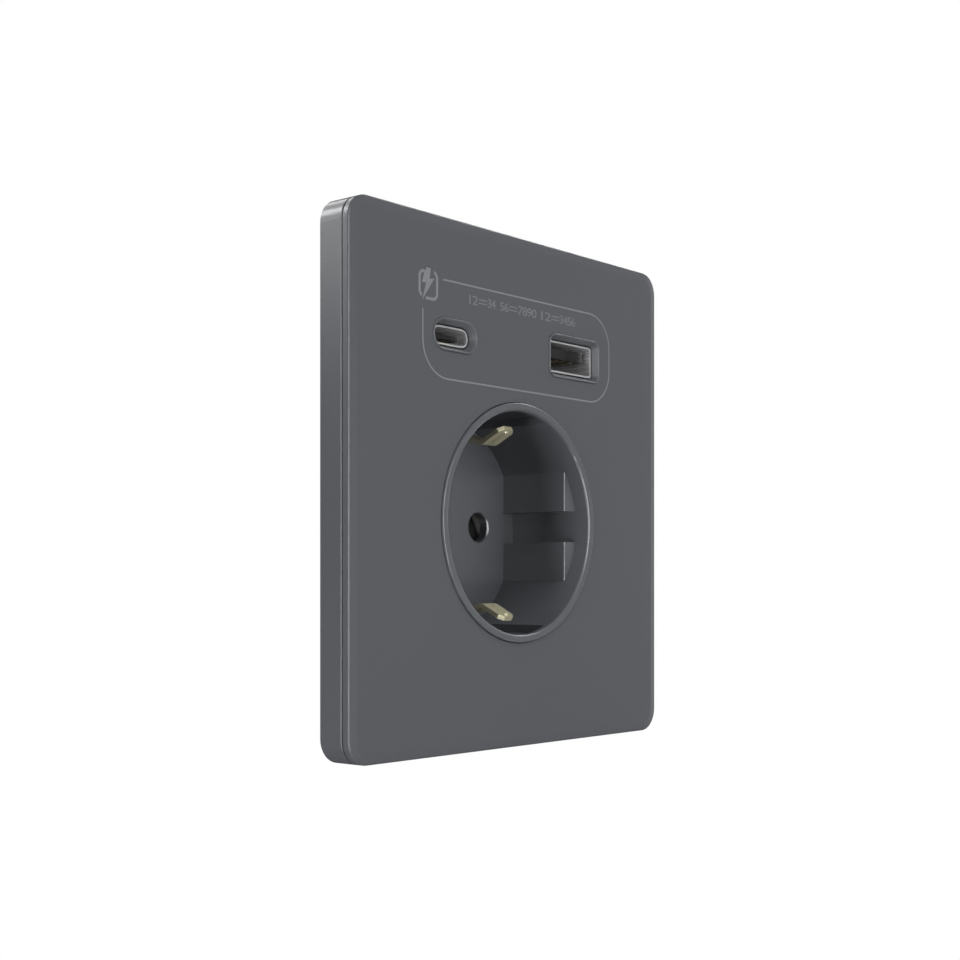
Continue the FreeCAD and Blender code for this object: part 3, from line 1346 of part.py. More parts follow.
def spring_slots(s):
    """U-shaped slots that free two flat springs in the shell's upper and lower walls."""
    for side in (-1, 1):
        middle = port_a_side + port_a_wide / 4 * side
        outer = leaf_half + leaf_slot
        polygon(s, [
            (middle - outer, leaf_near), (middle + outer, leaf_near), (middle + outer, leaf_far),
            (middle + leaf_half, leaf_far), (middle + leaf_half, leaf_near + leaf_slot),
            (middle - leaf_half, leaf_near + leaf_slot), (middle - leaf_half, leaf_far),
            (middle - outer, leaf_far),
        ])


shell_a = port_shell("usb_a_shell", port_a_outline, port_a_long)
shell_a.pocket("springs", "XY", usb_height, port_a_high + overcut, spring_slots, both=True)
nodes["usb_a_shell"] = shell_a.body
shell_c = port_shell("usb_c_shell", port_c_outline, port_c_long)
nodes["usb_c_shell"] = shell_c.body

tongue_a = Piece("usb_a_tongue")
tongue_a_low = usb_height + tongue_a_rise
tongue_a_front = shell_front + tongue_a_sunk
block_a_back = port_a_back - shell_sheet - root / 2
block_a_front = block_a_back - tongue_a_root
block_a_half = port_a_wide / 2 - shell_sheet - root
block_a_high = port_a_high / 2 - shell_sheet - root
tongue_a.pad("root", "XZ", block_a_back, tongue_a_root, lambda s: rectangle(
    s, port_a_side - block_a_half, port_a_side + block_a_half,
    usb_height - block_a_high, usb_height + block_a_high))
tongue_a.pad("tongue", "XZ", block_a_front, block_a_front - tongue_a_front, lambda s: rectangle(
    s, port_a_side - tongue_a_half, port_a_side + tongue_a_half,
    tongue_a_low, tongue_a_low + tongue_a_thick))
nodes["usb_a_tongue"] = tongue_a.body

tongue_c = Piece("usb_c_tongue")
tongue_c_front = shell_front + tongue_c_sunk
block_c_back = port_c_back - shell_sheet - root / 2
block_c_front = block_c_back - tongue_c_root
tongue_c.pad("root", "XZ", block_c_back, tongue_c_root, port_c_outline(-shell_sheet - root / 2))
tongue_c.pad("tongue", "XZ", block_c_front, block_c_front - tongue_c_front, lambda s: rectangle(
    s, -port_c_side - tongue_c_half, -port_c_side + tongue_c_half,
    usb_height - tongue_c_thick / 2, usb_height + tongue_c_thick / 2))
nodes["usb_c_tongue"] = tongue_c.body


def contact_strip(name, middle, half_wide, close, far, low, thick):
    return block(name, middle - half_wide, middle + half_wide, close, far, low, low + thick)


nodes["usb_a_contacts"] = group("usb_a_contact_group", [
    contact_strip(f"usb_a_contact_{index}", port_a_side + a_contact_pitch * place, a_contact_half,
                  tongue_a_front + a_contact_inset, block_a_front,
                  tongue_a_low - a_contact_thick, a_contact_thick)
    for index, place in enumerate((-1.4, -0.4, 0.4, 1.4))])
nodes["usb_c_contacts"] = group("usb_c_contact_group", [
    contact_strip(f"usb_c_contact_{face}_{index}", -port_c_side + c_contact_pitch * (index - 5.5),
                  c_contact_half, tongue_c_front + c_contact_inset, block_c_front,
                  usb_height + (tongue_c_thick / 2 if face else -tongue_c_thick / 2 - c_contact_thick),
                  c_contact_thick)
    for face in (0, 1) for index in range(12)])


# Power module: the transformer, capacitors, choke, rectifier and chips on the board

core_x = size("core_x", 0, "transformer's centre, sideways")
core_y = size("core_y", 22.5, "transformer's centre behind the wall's surface")
core_half = size("core_half", 7, "half the transformer core's width")
core_deep = size("core_deep", 6, "transformer core, front to back")
core_tall = size("core_tall", 9.8, "transformer core's height")
core_yoke = size("core_yoke", 2, "transformer core's yokes and outer legs")
core_leg = size("core_leg", 2.2, "half the transformer core's middle leg")
coil_play = size("coil_play", 0.2, "clearance of the winding in the core")
flange_thick = size("flange_thick", 0.6, "bobbin's flanges")
coil_over = size("coil_over", 2.6, "how far the winding stands out of the core")


def transformer():
    """A double-E core with a bobbin and a taped winding round its middle leg."""
    low = board_top
    high = board_top + core_tall
    close = core_y - core_deep / 2
    far = core_y + core_deep / 2
    core = Piece("transformer_core")
    core.pad("core", "XZ", far, core_deep, lambda s: rectangle(
        s, core_x - core_half, core_x + core_half, low, high))

    def windows(s):
        for side in (-1, 1):
            rectangle(s, core_x + core_leg * side, core_x + (core_half - core_yoke) * side,
                      low + core_yoke, high - core_yoke)
    core.pocket("windows", "XZ", close, core_deep, windows)
    nodes["transformer_core"] = core.body

    leg_wide = core_leg + coil_play
    leg_deep = core_deep / 2 + coil_play
    reach = core_half - core_yoke - coil_play
    over = core_deep / 2 + coil_over
    sleeve = flange_thick
    bobbin = Piece("transformer_bobbin")
    bottom = low + core_yoke + coil_play
    top = high - core_yoke - coil_play

    def ring(half_wide, half_deep):
        return lambda s: rectangle(s, core_x - half_wide, core_x + half_wide,
                                   core_y - half_deep, core_y + half_deep)
    bobbin.pad("sleeve", "XY", bottom, top - bottom, ring(leg_wide + sleeve, leg_deep + sleeve))
    bobbin.pad("lower_flange", "XY", bottom, flange_thick, ring(reach, over))
    bobbin.pad("upper_flange", "XY", top, flange_thick, ring(reach, over), back=True)
    bobbin.pocket("hole", "XY", top, top - bottom, ring(leg_wide, leg_deep))

    def feet(s):
        for side in (-1, 1):
            middle = core_y + (over - flange_thick) * side
            rectangle(s, core_x - reach, core_x + reach, middle - flange_thick, middle + flange_thick)
    bobbin.pad("feet", "XY", board_top, bottom - board_top + root, feet)
    nodes["transformer_bobbin"] = bobbin.body

    winding = Piece("transformer_winding")
    winding.pad("tape", "XY", bottom + flange_thick, top - bottom - flange_thick * 2,
                lambda s: rounded_rectangle(
                    s, core_x - reach + coil_play, core_x + reach - coil_play,
                    core_y - over + coil_play, core_y + over - coil_play, coil_round))
    winding.pocket("sleeve", "XY", top - flange_thick, top - bottom - flange_thick * 2,
                   ring(leg_wide + sleeve, leg_deep + sleeve))
    nodes["transformer_winding"] = winding.body


transformer()

nodes["bulk_capacitors"] = group("bulk_capacitor_group", [
    rod(f"bulk_capacitor_{index}", -bulk_x, bulk_start + (bulk_long + bulk_gap) * index,
        board_top + bulk_radius, bulk_radius, bulk_long, INWARDS)
    for index in range(2)])
nodes["output_capacitors"] = group("output_capacitor_group", [
    rod(f"output_capacitor_{index}", output_x, output_start + (output_radius * 2 + bulk_gap) * index,
        board_top, output_radius, output_tall)
    for index in range(2)])
nodes["bridge_rectifier"] = block(
    "bridge_rectifier_box", output_x - rectifier_half, output_x + rectifier_half,
    board_back - rectifier_half * 2 - rectifier_edge, board_back - rectifier_edge,
    board_top, board_top + rectifier_tall)
nodes["control_chips"] = group("control_chip_group", [
    block(f"control_chip_{index}", chip_x * place - chip_half, chip_x * place + chip_half,
          chip_start, chip_start + chip_half * 2, board_low - chip_tall, board_low)
    for index, place in enumerate((-1, 0, 1))])

choke = Piece("choke_core")


def choke_section(s):
    """Half the choke's spool, from its axis outwards."""
    polygon(s, [
        (0, 0), (choke_radius, 0), (choke_radius, choke_flange), (choke_waist, choke_flange),
        (choke_waist, choke_tall - choke_flange), (choke_radius, choke_tall - choke_flange),
        (choke_radius, choke_tall), (0, choke_tall),
    ])


def revolved(piece, label, draw):
    """A full turn about the sketch's own upright axis."""
    sketch = piece.sketch(label, "XZ", 0, draw)
    turn = piece.feature("Revolution", label)
    turn.Profile = sketch
    turn.ReferenceAxis = (sketch, ["V_Axis"])
    turn.Angle = 360
    piece.finish(turn, sketch, grows=True)


def stand_at(body, x, y, z):
    for path, value in (("x", x), ("y", y), ("z", z)):
        bind(body, f"Placement.Base.{path}", value)


revolved(choke, "spool", choke_section)
stand_at(choke.body, choke_x, choke_y, board_top)
nodes["choke_core"] = choke.body
choke_coil = Piece("choke_winding")
revolved(choke_coil, "coil", lambda s: rectangle(
    s, choke_waist + coil_play / 4, choke_radius - coil_play,
    choke_flange + coil_play / 4, choke_tall - choke_flange - coil_play / 4))
stand_at(choke_coil.body, choke_x, choke_y, board_top)
nodes["choke_winding"] = choke_coil.body


# Leads: the stiff wires that feed the board from the two pin contacts

for name, side in (("live_lead", 1), ("neutral_lead", -1)):
    nodes[name] = rod(name + "_wire", lead_x * side, lead_y, centre_z, lead_radius,
                      board_low - centre_z)


# Labels, tests and the files

doc.recompute()
faults = [item.Name for item in doc.Objects if {"Invalid", "Error"} & set(item.State)]
if faults:
    raise RuntimeError(f"failed: {', '.join(faults)}")
for name, item in nodes.items():
    item.Label = name
    if item.Shape.isNull() or not item.Shape.isValid():
        raise RuntimeError(f"{name} has no valid shape")
for name, item in nodes.items():
    item.Shape.exportStep(f"parts/{name}.step")
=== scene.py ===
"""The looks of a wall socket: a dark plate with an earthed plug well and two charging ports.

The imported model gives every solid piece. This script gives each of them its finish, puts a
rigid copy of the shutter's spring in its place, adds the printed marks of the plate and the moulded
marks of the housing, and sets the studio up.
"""

import json
import logging
import math
from collections.abc import Iterable
from dataclasses import dataclass, field
from enum import Enum
from typing import ClassVar

import bmesh
import bpy
from mathutils import Matrix, Vector

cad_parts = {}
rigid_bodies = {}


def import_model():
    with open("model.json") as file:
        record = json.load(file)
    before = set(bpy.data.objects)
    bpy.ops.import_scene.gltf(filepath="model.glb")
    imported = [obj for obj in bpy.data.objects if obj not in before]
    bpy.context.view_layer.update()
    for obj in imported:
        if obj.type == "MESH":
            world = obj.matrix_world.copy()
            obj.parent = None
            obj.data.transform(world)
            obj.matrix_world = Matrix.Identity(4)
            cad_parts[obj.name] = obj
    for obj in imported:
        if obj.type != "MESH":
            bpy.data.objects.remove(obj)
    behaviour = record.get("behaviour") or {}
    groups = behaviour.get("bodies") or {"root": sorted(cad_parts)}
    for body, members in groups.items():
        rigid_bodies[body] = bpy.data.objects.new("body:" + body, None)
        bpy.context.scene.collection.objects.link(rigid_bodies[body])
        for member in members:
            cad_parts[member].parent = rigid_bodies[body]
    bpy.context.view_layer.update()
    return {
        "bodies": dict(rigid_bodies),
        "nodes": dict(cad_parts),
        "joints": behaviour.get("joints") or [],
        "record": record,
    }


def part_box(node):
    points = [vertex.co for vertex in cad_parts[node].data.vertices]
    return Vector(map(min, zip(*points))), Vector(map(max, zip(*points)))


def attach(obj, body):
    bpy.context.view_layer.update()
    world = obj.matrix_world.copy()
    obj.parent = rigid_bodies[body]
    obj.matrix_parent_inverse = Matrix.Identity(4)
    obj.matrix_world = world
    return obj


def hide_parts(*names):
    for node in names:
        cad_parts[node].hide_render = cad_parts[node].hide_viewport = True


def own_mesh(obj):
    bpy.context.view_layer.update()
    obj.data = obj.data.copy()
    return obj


log = logging.getLogger("wall_socket")

MM = 0.001
WELD = 1e-7
SOCKET = "socket"
WHITE = (1.0, 1.0, 1.0, 1.0)
SHADE_ENDS = (0.15, 0.85)
LETTER_STEPS = 3
LETTER_SPACING = 0.85

Colour = tuple[float, float, float]
Point = tuple[float, float]
Span = tuple[float, float]


class Texture(Enum):
    """How a metal was worked: its marks along and across the tool's way, in waves a metre."""

    DRAWN = (120.0, 6000.0)
    STAMPED = (2500.0, 2500.0)
    TURNED = (9000.0, 400.0)


class Effects:
    """Shader node groups that several finishes share, each built once.

    Attributes:
        moulded_skin: The grain of a moulding.
        tone_drift: Slow changes of shade.
        worked_metal: The marks of a tool or a die.
        GRAIN_DETAIL, GRAIN_ROUGHNESS: How fine and how strong the grain's finer layers are.
        PATCH_SCALE, PATCH_DETAIL: The scale and the detail of the patches of other gloss.
        DRIFT_DETAIL, LINE_DETAIL: The detail of the changes of shade and of the tool's marks.
        MIDDLE: A noise's mean.
    """

    GRAIN_DETAIL = 3.0
    GRAIN_ROUGHNESS = 0.6
    PATCH_SCALE = 90.0
    PATCH_DETAIL = 2.0
    DRIFT_DETAIL = 4.0
    LINE_DETAIL = 2.0
    MIDDLE = 0.5

    def __init__(self) -> None:
        """Build the groups."""
        self.moulded_skin = self._moulded_skin()
        self.tone_drift = self._tone_drift()
        self.worked_metal = self._worked_metal()

    @staticmethod
    def _group(name: str, inputs: dict[str, float], outputs: Iterable[str]) -> bpy.types.NodeTree:
        """Make a group with number sockets that knows where a point of the object is.

        Args:
            name: The group's name.
            inputs: Each input's name and value.
            outputs: The outputs' names.

        Returns:
            The group, with its nodes given, made and place.
        """
        tree = bpy.data.node_groups.new(name, "ShaderNodeTree")
        for label, value in inputs.items():
            socket = tree.interface.new_socket(label, in_out="INPUT", socket_type="NodeSocketFloat")
            socket.default_value = value
        for label in outputs:
            tree.interface.new_socket(label, in_out="OUTPUT", socket_type="NodeSocketFloat")
        tree.nodes.new("NodeGroupInput").name = "given"
        tree.nodes.new("NodeGroupOutput").name = "made"
        tree.nodes.new("ShaderNodeTexCoord").name = "place"
        return tree

    @staticmethod
    def _noise(tree: bpy.types.NodeTree, detail: float,
               vector: bpy.types.NodeSocket | None = None) -> bpy.types.Node:
        """Add a noise to a group.

        Args:
            tree: The group.
            detail: How many finer layers it has.
            vector: Where it is read, or None for the object's own place.

        Returns:
            The noise's node.
        """
        noise = tree.nodes.new("ShaderNodeTexNoise")
        noise.inputs["Detail"].default_value = detail
        tree.links.new(vector or tree.nodes["place"].outputs["Object"], noise.inputs["Vector"])
        return noise

    @staticmethod
    def _math(tree: bpy.types.NodeTree, operation: str,
              *terms: bpy.types.NodeSocket | float) -> bpy.types.NodeSocket:
        """Add a step of arithmetic to a group.

        Args:
            tree: The group.
            operation: What the step does.
            terms: Its inputs, as sockets or numbers.

        Returns:
            The socket that gives the result.
        """
        step = tree.nodes.new("ShaderNodeMath")
        step.operation = operation
        for term, entry in zip(terms, step.inputs):
            if isinstance(term, float):
                entry.default_value = term
            else:
                tree.links.new(term, entry)
        return step.outputs[0]

    def _moulded_skin(self) -> bpy.types.NodeTree:
        """Make the fine spark-eroded grain of a moulding: its height and its gloss.

        Returns:
            The group.
        """
        tree = self._group("moulded_skin", {"Scale": 4000.0, "Gloss": 0.5, "Spread": 0.1},
                           ("Height", "Roughness"))
        given, made, links = tree.nodes["given"].outputs, tree.nodes["made"].inputs, tree.links
        grain = self._noise(tree, self.GRAIN_DETAIL)
        grain.inputs["Roughness"].default_value = self.GRAIN_ROUGHNESS
        patches = self._noise(tree, self.PATCH_DETAIL)
        patches.inputs["Scale"].default_value = self.PATCH_SCALE
        centred = self._math(tree, "SUBTRACT", patches.outputs["Fac"], self.MIDDLE)
        gloss = self._math(tree, "MULTIPLY_ADD", centred, given["Spread"], given["Gloss"])
        links.new(given["Scale"], grain.inputs["Scale"])
        links.new(grain.outputs["Fac"], made["Height"])
        links.new(gloss, made["Roughness"])
        return tree

    def _tone_drift(self) -> bpy.types.NodeTree:
        """Make slow, faint changes of shade over a surface, from 0 to 1.

        Returns:
            The group.
        """
        tree = self._group("tone_drift", {"Scale": 25.0}, ("Shade",))
        clouds = self._noise(tree, self.DRIFT_DETAIL)
        tree.links.new(tree.nodes["given"].outputs["Scale"], clouds.inputs["Scale"])
        tree.links.new(clouds.outputs["Fac"], tree.nodes["made"].inputs["Shade"])
        return tree

    def _worked_metal(self) -> bpy.types.NodeTree:
        """Make the lines that a tool or a die left along one direction, with their gloss.

        Returns:
            The group.
        """
        tree = self._group("worked_metal", {"Along": 150.0, "Across": 5000.0, "Gloss": 0.3,
                                            "Spread": 0.2}, ("Height", "Roughness"))
        given, made, links = tree.nodes["given"].outputs, tree.nodes["made"].inputs, tree.links
        split = tree.nodes.new("ShaderNodeSeparateXYZ")
        join = tree.nodes.new("ShaderNodeCombineXYZ")
        links.new(tree.nodes["place"].outputs["Object"], split.inputs[0])
        for axis, rate in (("X", "Across"), ("Y", "Along"), ("Z", "Across")):
            stretched = self._math(tree, "MULTIPLY", split.outputs[axis], given[rate])
            links.new(stretched, join.inputs[axis])
        lines = self._noise(tree, self.LINE_DETAIL, join.outputs[0])
        lines.inputs["Scale"].default_value = 1.0
        gloss = self._math(tree, "MULTIPLY_ADD", lines.outputs["Fac"], given["Spread"],
                           given["Gloss"])
        links.new(lines.outputs["Fac"], made["Height"])
        links.new(gloss, made["Roughness"])
        return tree


def place_group(material: bpy.types.Material, group: bpy.types.NodeTree,
                values: dict[str, float]) -> bpy.types.Node:
    """Put a shared group into a material.

    Args:
        material: The material that takes the group.
        group: The group.
        values: Its inputs in this material.

    Returns:
        The group's node.
    """
    node = material.node_tree.nodes.new("ShaderNodeGroup")
    node.node_tree = group
    for label, value in values.items():
        node.inputs[label].default_value = value
    return node


def new_material(name: str) -> tuple[bpy.types.Material, bpy.types.Node]:
    """Make a material that has only a Principled shader.

    Args:
        name: The material's name.

    Returns:
        The material and its shader node.
    """
    material = bpy.data.materials.new(name)
    material.use_nodes = True
    return material, material.node_tree.nodes["Principled BSDF"]


def link_bump(material: bpy.types.Material, shader: bpy.types.Node,
              height: bpy.types.NodeSocket, depth: float, strength: float) -> None:
    """Let a height move the surface's normal.

    Args:
        material: The material.
        shader: Its shader.
        height: The socket that gives the height.
        depth: The height of 1, in metres.
        strength: The share of the effect that is kept.
    """
    bump = material.node_tree.nodes.new("ShaderNodeBump")
    bump.inputs["Distance"].default_value = depth
    bump.inputs["Strength"].default_value = strength
    material.node_tree.links.new(height, bump.inputs["Height"])
    material.node_tree.links.new(bump.outputs["Normal"], shader.inputs["Normal"])


def shaded(colour: Colour, factor: float) -> Colour:
    """Make a colour lighter or darker.

    Args:
        colour: The colour.
        factor: What each of its channels is multiplied by.

    Returns:
        The new colour.
    """
    return (colour[0] * factor, colour[1] * factor, colour[2] * factor)


def link_shade(material: bpy.types.Material, shader: bpy.types.Node,
               factor: bpy.types.NodeSocket, colour: Colour, drift: float) -> None:
    """Let a factor choose the surface's colour between two close shades.

    Args:
        material: The material.
        shader: Its shader.
        factor: The socket that gives the factor.
        colour: The colour between the two shades.
        drift: How far each shade lies from it.
    """
    ramp = material.node_tree.nodes.new("ShaderNodeValToRGB")
    ramp.color_ramp.interpolation = "EASE"
    ends = zip(ramp.color_ramp.elements, SHADE_ENDS, (1 - drift, 1 + drift))
    for element, position, tone in ends:
        element.position = position
        element.color = (*shaded(colour, tone), 1.0)
    material.node_tree.links.new(factor, ramp.inputs["Fac"])
    material.node_tree.links.new(ramp.outputs["Color"], shader.inputs["Base Color"])


@dataclass(frozen=True)
class Moulding:
    """A finish of moulded plastic, tape, ferrite or lacquer.

    Attributes:
        name: The finish's name.
        colour: Its colour, linear.
        gloss: Its roughness.
        spread: How much the roughness varies.
        grain: The grain's scale, in waves a metre.
        grain_depth: The grain's height, in metres.
        drift: How far the shade drifts from the colour.
        reflectance: The specular level.
        relief: The share of the grain's effect that is kept.
        clouds: The drift's scale, in waves a metre.
    """

    name: str
    colour: Colour
    gloss: float = 0.45
    spread: float = 0.10
    grain: float = 5000.0
    grain_depth: float = 0.012 * MM
    drift: float = 0.03
    reflectance: float = 0.5
    relief: float = 0.6
    clouds: float = 30.0

    def make(self, effects: Effects) -> bpy.types.Material:
        """Build the material.

        Args:
            effects: The shared node groups.

        Returns:
            The material.
        """
        material, shader = new_material(self.name)
        shader.inputs["Specular IOR Level"].default_value = self.reflectance
        skin = place_group(material, effects.moulded_skin, {
            "Scale": self.grain, "Gloss": self.gloss, "Spread": self.spread})
        drift = place_group(material, effects.tone_drift, {"Scale": self.clouds})
        link_bump(material, shader, skin.outputs["Height"], self.grain_depth, self.relief)
        link_shade(material, shader, drift.outputs["Shade"], self.colour, self.drift)
        material.node_tree.links.new(skin.outputs["Roughness"], shader.inputs["Roughness"])
        return material


@dataclass(frozen=True)
class Metal:
    """A finish of bare or plated metal.

    Attributes:
        name: The finish's name.
        colour: Its colour, linear.
        texture: How the surface was worked.
        gloss: Its roughness.
        spread: How much the roughness varies.
        depth: The height of the tool's lines, in metres.
        drift: How far the shade drifts from the colour.
        scatter: The share of light that the skin scatters instead of mirroring it.
        relief: The share of the lines' effect that is kept.
        clouds: The drift's scale, in waves a metre.
    """

    name: str
    colour: Colour
    texture: Texture = Texture.STAMPED
    gloss: float = 0.25
    spread: float = 0.15
    depth: float = 0.004 * MM
    drift: float = 0.06
    scatter: float = 0.0
    relief: float = 0.5
    clouds: float = 140.0

    def make(self, effects: Effects) -> bpy.types.Material:
        """Build the material.

        Args:
            effects: The shared node groups.

        Returns:
            The material.
        """
        along, across = self.texture.value
        material, shader = new_material(self.name)
        shader.inputs["Metallic"].default_value = 1.0 - self.scatter
        lines = place_group(material, effects.worked_metal, {
            "Along": along, "Across": across, "Gloss": self.gloss, "Spread": self.spread})
        drift = place_group(material, effects.tone_drift, {"Scale": self.clouds})
        link_bump(material, shader, lines.outputs["Height"], self.depth, self.relief)
        link_shade(material, shader, drift.outputs["Shade"], self.colour, self.drift)
        material.node_tree.links.new(lines.outputs["Roughness"], shader.inputs["Roughness"])
        return material


class Finishes:
    """Every finish of the object.

    Attributes:
        PLATE: The colour of the plate's plastic, linear.
        INSERT: How much lighter the insert's plastic is.
        made: The materials by name.
    """

    PLATE: ClassVar[Colour] = (0.088, 0.092, 0.101)
    INSERT: ClassVar[float] = 1.11

    def __init__(self, effects: Effects) -> None:
        """Make the materials.

        Args:
            effects: The shared node groups.
        """
        kinds = (
            Moulding("panel_plastic", self.PLATE, gloss=0.32, spread=0.04, drift=0.015,
                     reflectance=0.25),
            Moulding("frame_plastic", self.PLATE, gloss=0.28, spread=0.0, drift=0.015,
                     reflectance=0.25),
            Moulding("insert_plastic", shaded(self.PLATE, self.INSERT), gloss=0.30, spread=0.04,
                     drift=0.015),
            Moulding("housing_plastic", (0.60, 0.60, 0.58), gloss=0.5, grain=2500.0),
            Moulding("base_plastic", (0.62, 0.61, 0.58), gloss=0.5),
            Moulding("shutter_plastic", (0.022, 0.022, 0.024), gloss=0.35),
            Moulding("board_laminate", (0.015, 0.12, 0.05), gloss=0.25, drift=0.2),
            Moulding("tongue_plastic", (0.012, 0.012, 0.012), gloss=0.4),
            Moulding("core_ferrite", (0.03, 0.03, 0.033), gloss=0.6, grain=9000.0),
            Moulding("bobbin_plastic", (0.02, 0.02, 0.02), gloss=0.4),
            Moulding("winding_tape", (0.62, 0.42, 0.03), gloss=0.3),
            Moulding("capacitor_sleeve", (0.03, 0.03, 0.045), gloss=0.2),
            Moulding("chip_plastic", (0.02, 0.02, 0.022), gloss=0.5, grain=9000.0),
            Moulding("print_ink", (0.175, 0.178, 0.190), gloss=0.5),
            Moulding("print_faint", (0.150, 0.152, 0.162), gloss=0.5),
            Metal("spring_steel", (0.55, 0.55, 0.56), Texture.DRAWN, gloss=0.2),
            Metal("strap_steel", (0.56, 0.57, 0.59), Texture.STAMPED, gloss=0.35, drift=0.14,
                  scatter=0.5),
            Metal("screw_steel", (0.60, 0.60, 0.60), Texture.TURNED, gloss=0.2),
            Metal("earth_brass", (0.57, 0.54, 0.37), Texture.STAMPED, gloss=0.26, scatter=0.6),
            Metal("contact_brass", (0.60, 0.42, 0.18), Texture.STAMPED),
            Metal("terminal_brass", (0.62, 0.45, 0.17), Texture.TURNED),
            Metal("shell_steel", (0.58, 0.58, 0.59), Texture.DRAWN, gloss=0.18, scatter=0.6),
            Metal("port_contacts", (0.34, 0.30, 0.20), Texture.DRAWN, gloss=0.30),
            Metal("capacitor_can", (0.65, 0.66, 0.68), Texture.DRAWN),
            Metal("choke_wire", (0.55, 0.20, 0.07), Texture.DRAWN),
            Metal("lead_copper", (0.60, 0.56, 0.53), Texture.DRAWN),
        )
        self.made = {kind.name: kind.make(effects) for kind in kinds}

    def dress(self, piece: bpy.types.Object, name: str) -> None:
        """Give a piece one finish all over.

        Args:
            piece: A mesh object.
            name: The finish's name.
        """
        piece.data.materials.clear()
        piece.data.materials.append(self.made[name])

    def dress_frame(self, frame: dict) -> None:
        """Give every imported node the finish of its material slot.
        """
        slots = {row["node"]: row["material_slot"] for row in frame["record"]["subparts"]}
        for name, node in frame["nodes"].items():
            self.dress(node, slots[name])
            log.info("%s takes %s", name, slots[name])


def finish_piece(name: str, mesh: bmesh.types.BMesh, finishes: Finishes, finish: str) -> bpy.types.Object:
    """Turn a bmesh into a piece of the socket that rides with it.

    Args:
        name: The piece's name.
        mesh: Its shape, in place.
        finishes: The finishes.
        finish: The name of its finish.

    Returns:
        The piece.
    """
    bmesh.ops.remove_doubles(mesh, verts=mesh.verts, dist=WELD)
    bmesh.ops.recalc_face_normals(mesh, faces=mesh.faces)
    data = bpy.data.meshes.new(name)
    mesh.to_mesh(data)
    mesh.free()
    piece = bpy.data.objects.new(name, data)
    bpy.context.scene.collection.objects.link(piece)
    finishes.dress(piece, finish)
    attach(piece, SOCKET)
    log.info("made %s: %d faces", name, len(data.polygons))
    return piece


def add_text(mesh: bmesh.types.BMesh, text: str, across: Span, up: Span, front: float,
             depth: float) -> None:
    """Add plain letters that face -Y and fill a given box.

    Args:
        mesh: The bmesh that takes them.
        text: The letters.
        across: Their left and right ends.
        up: Their feet and tops.
        front: The surface they stand on.
        depth: How far they stand out of it.
    """
    curve = bpy.data.curves.new("letters", "FONT")
    curve.body = text
    curve.resolution_u = LETTER_STEPS
    curve.space_character = LETTER_SPACING
    curve.extrude = depth / 2
    item = bpy.data.objects.new("letters", curve)
    bpy.context.scene.collection.objects.link(item)
    bpy.context.view_layer.update()
    data = bpy.data.meshes.new_from_object(item)
    bpy.data.objects.remove(item)
    xs = [vert.co.x for vert in data.vertices]
    ys = [vert.co.y for vert in data.vertices]
    wide = (across[1] - across[0]) / (max(xs) - min(xs))
    high = (up[1] - up[0]) / (max(ys) - min(ys))
    for vert in data.vertices:
        x = across[0] + (vert.co.x - min(xs)) * wide
        z = up[0] + (vert.co.y - min(ys)) * high
        vert.co = (x, front - depth / 2 - vert.co.z, z)
    mesh.from_mesh(data)
    bpy.data.meshes.remove(data)


def arc(centre: Point, radius: float, start: float, end: float, steps: int) -> list[Point]:
    """Find points along an arc.

    Args:
        centre: The arc's centre.
        radius: Its radius.
        start: The angle it starts from, in degrees.
        end: The angle it ends at.
        steps: How many steps it is divided into.

    Returns:
        The points.
    """
    angles = (math.radians(start + (end - start) * i / steps) for i in range(steps + 1))
    return [(centre[0] + radius * math.cos(a), centre[1] + radius * math.sin(a)) for a in angles]


@dataclass
class ShorteningSpring:
    """The shutter's spring, as a rigid copy of the coil that stands in for it.

    Attributes:
        node: The rigid coil that it stands for.
        slide: The shutter's joint; not used.
    """

    node: str = "shutter_spring"
    slide: str = "shutter_slide"

    def build(self, frame: dict, finishes: Finishes) -> bpy.types.Object:
        """Put a copy of the coil in the rigid one's place and hide the rigid one.

        Args:
            finishes: The finishes.

        Returns:
            The coil.
        """
        mesh = bmesh.new()
        mesh.from_mesh(frame["nodes"][self.node].data)
        coil = finish_piece("shutter_spring_coil", mesh, finishes, "spring_steel")
        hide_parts(self.node)
        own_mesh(coil)
        return coil


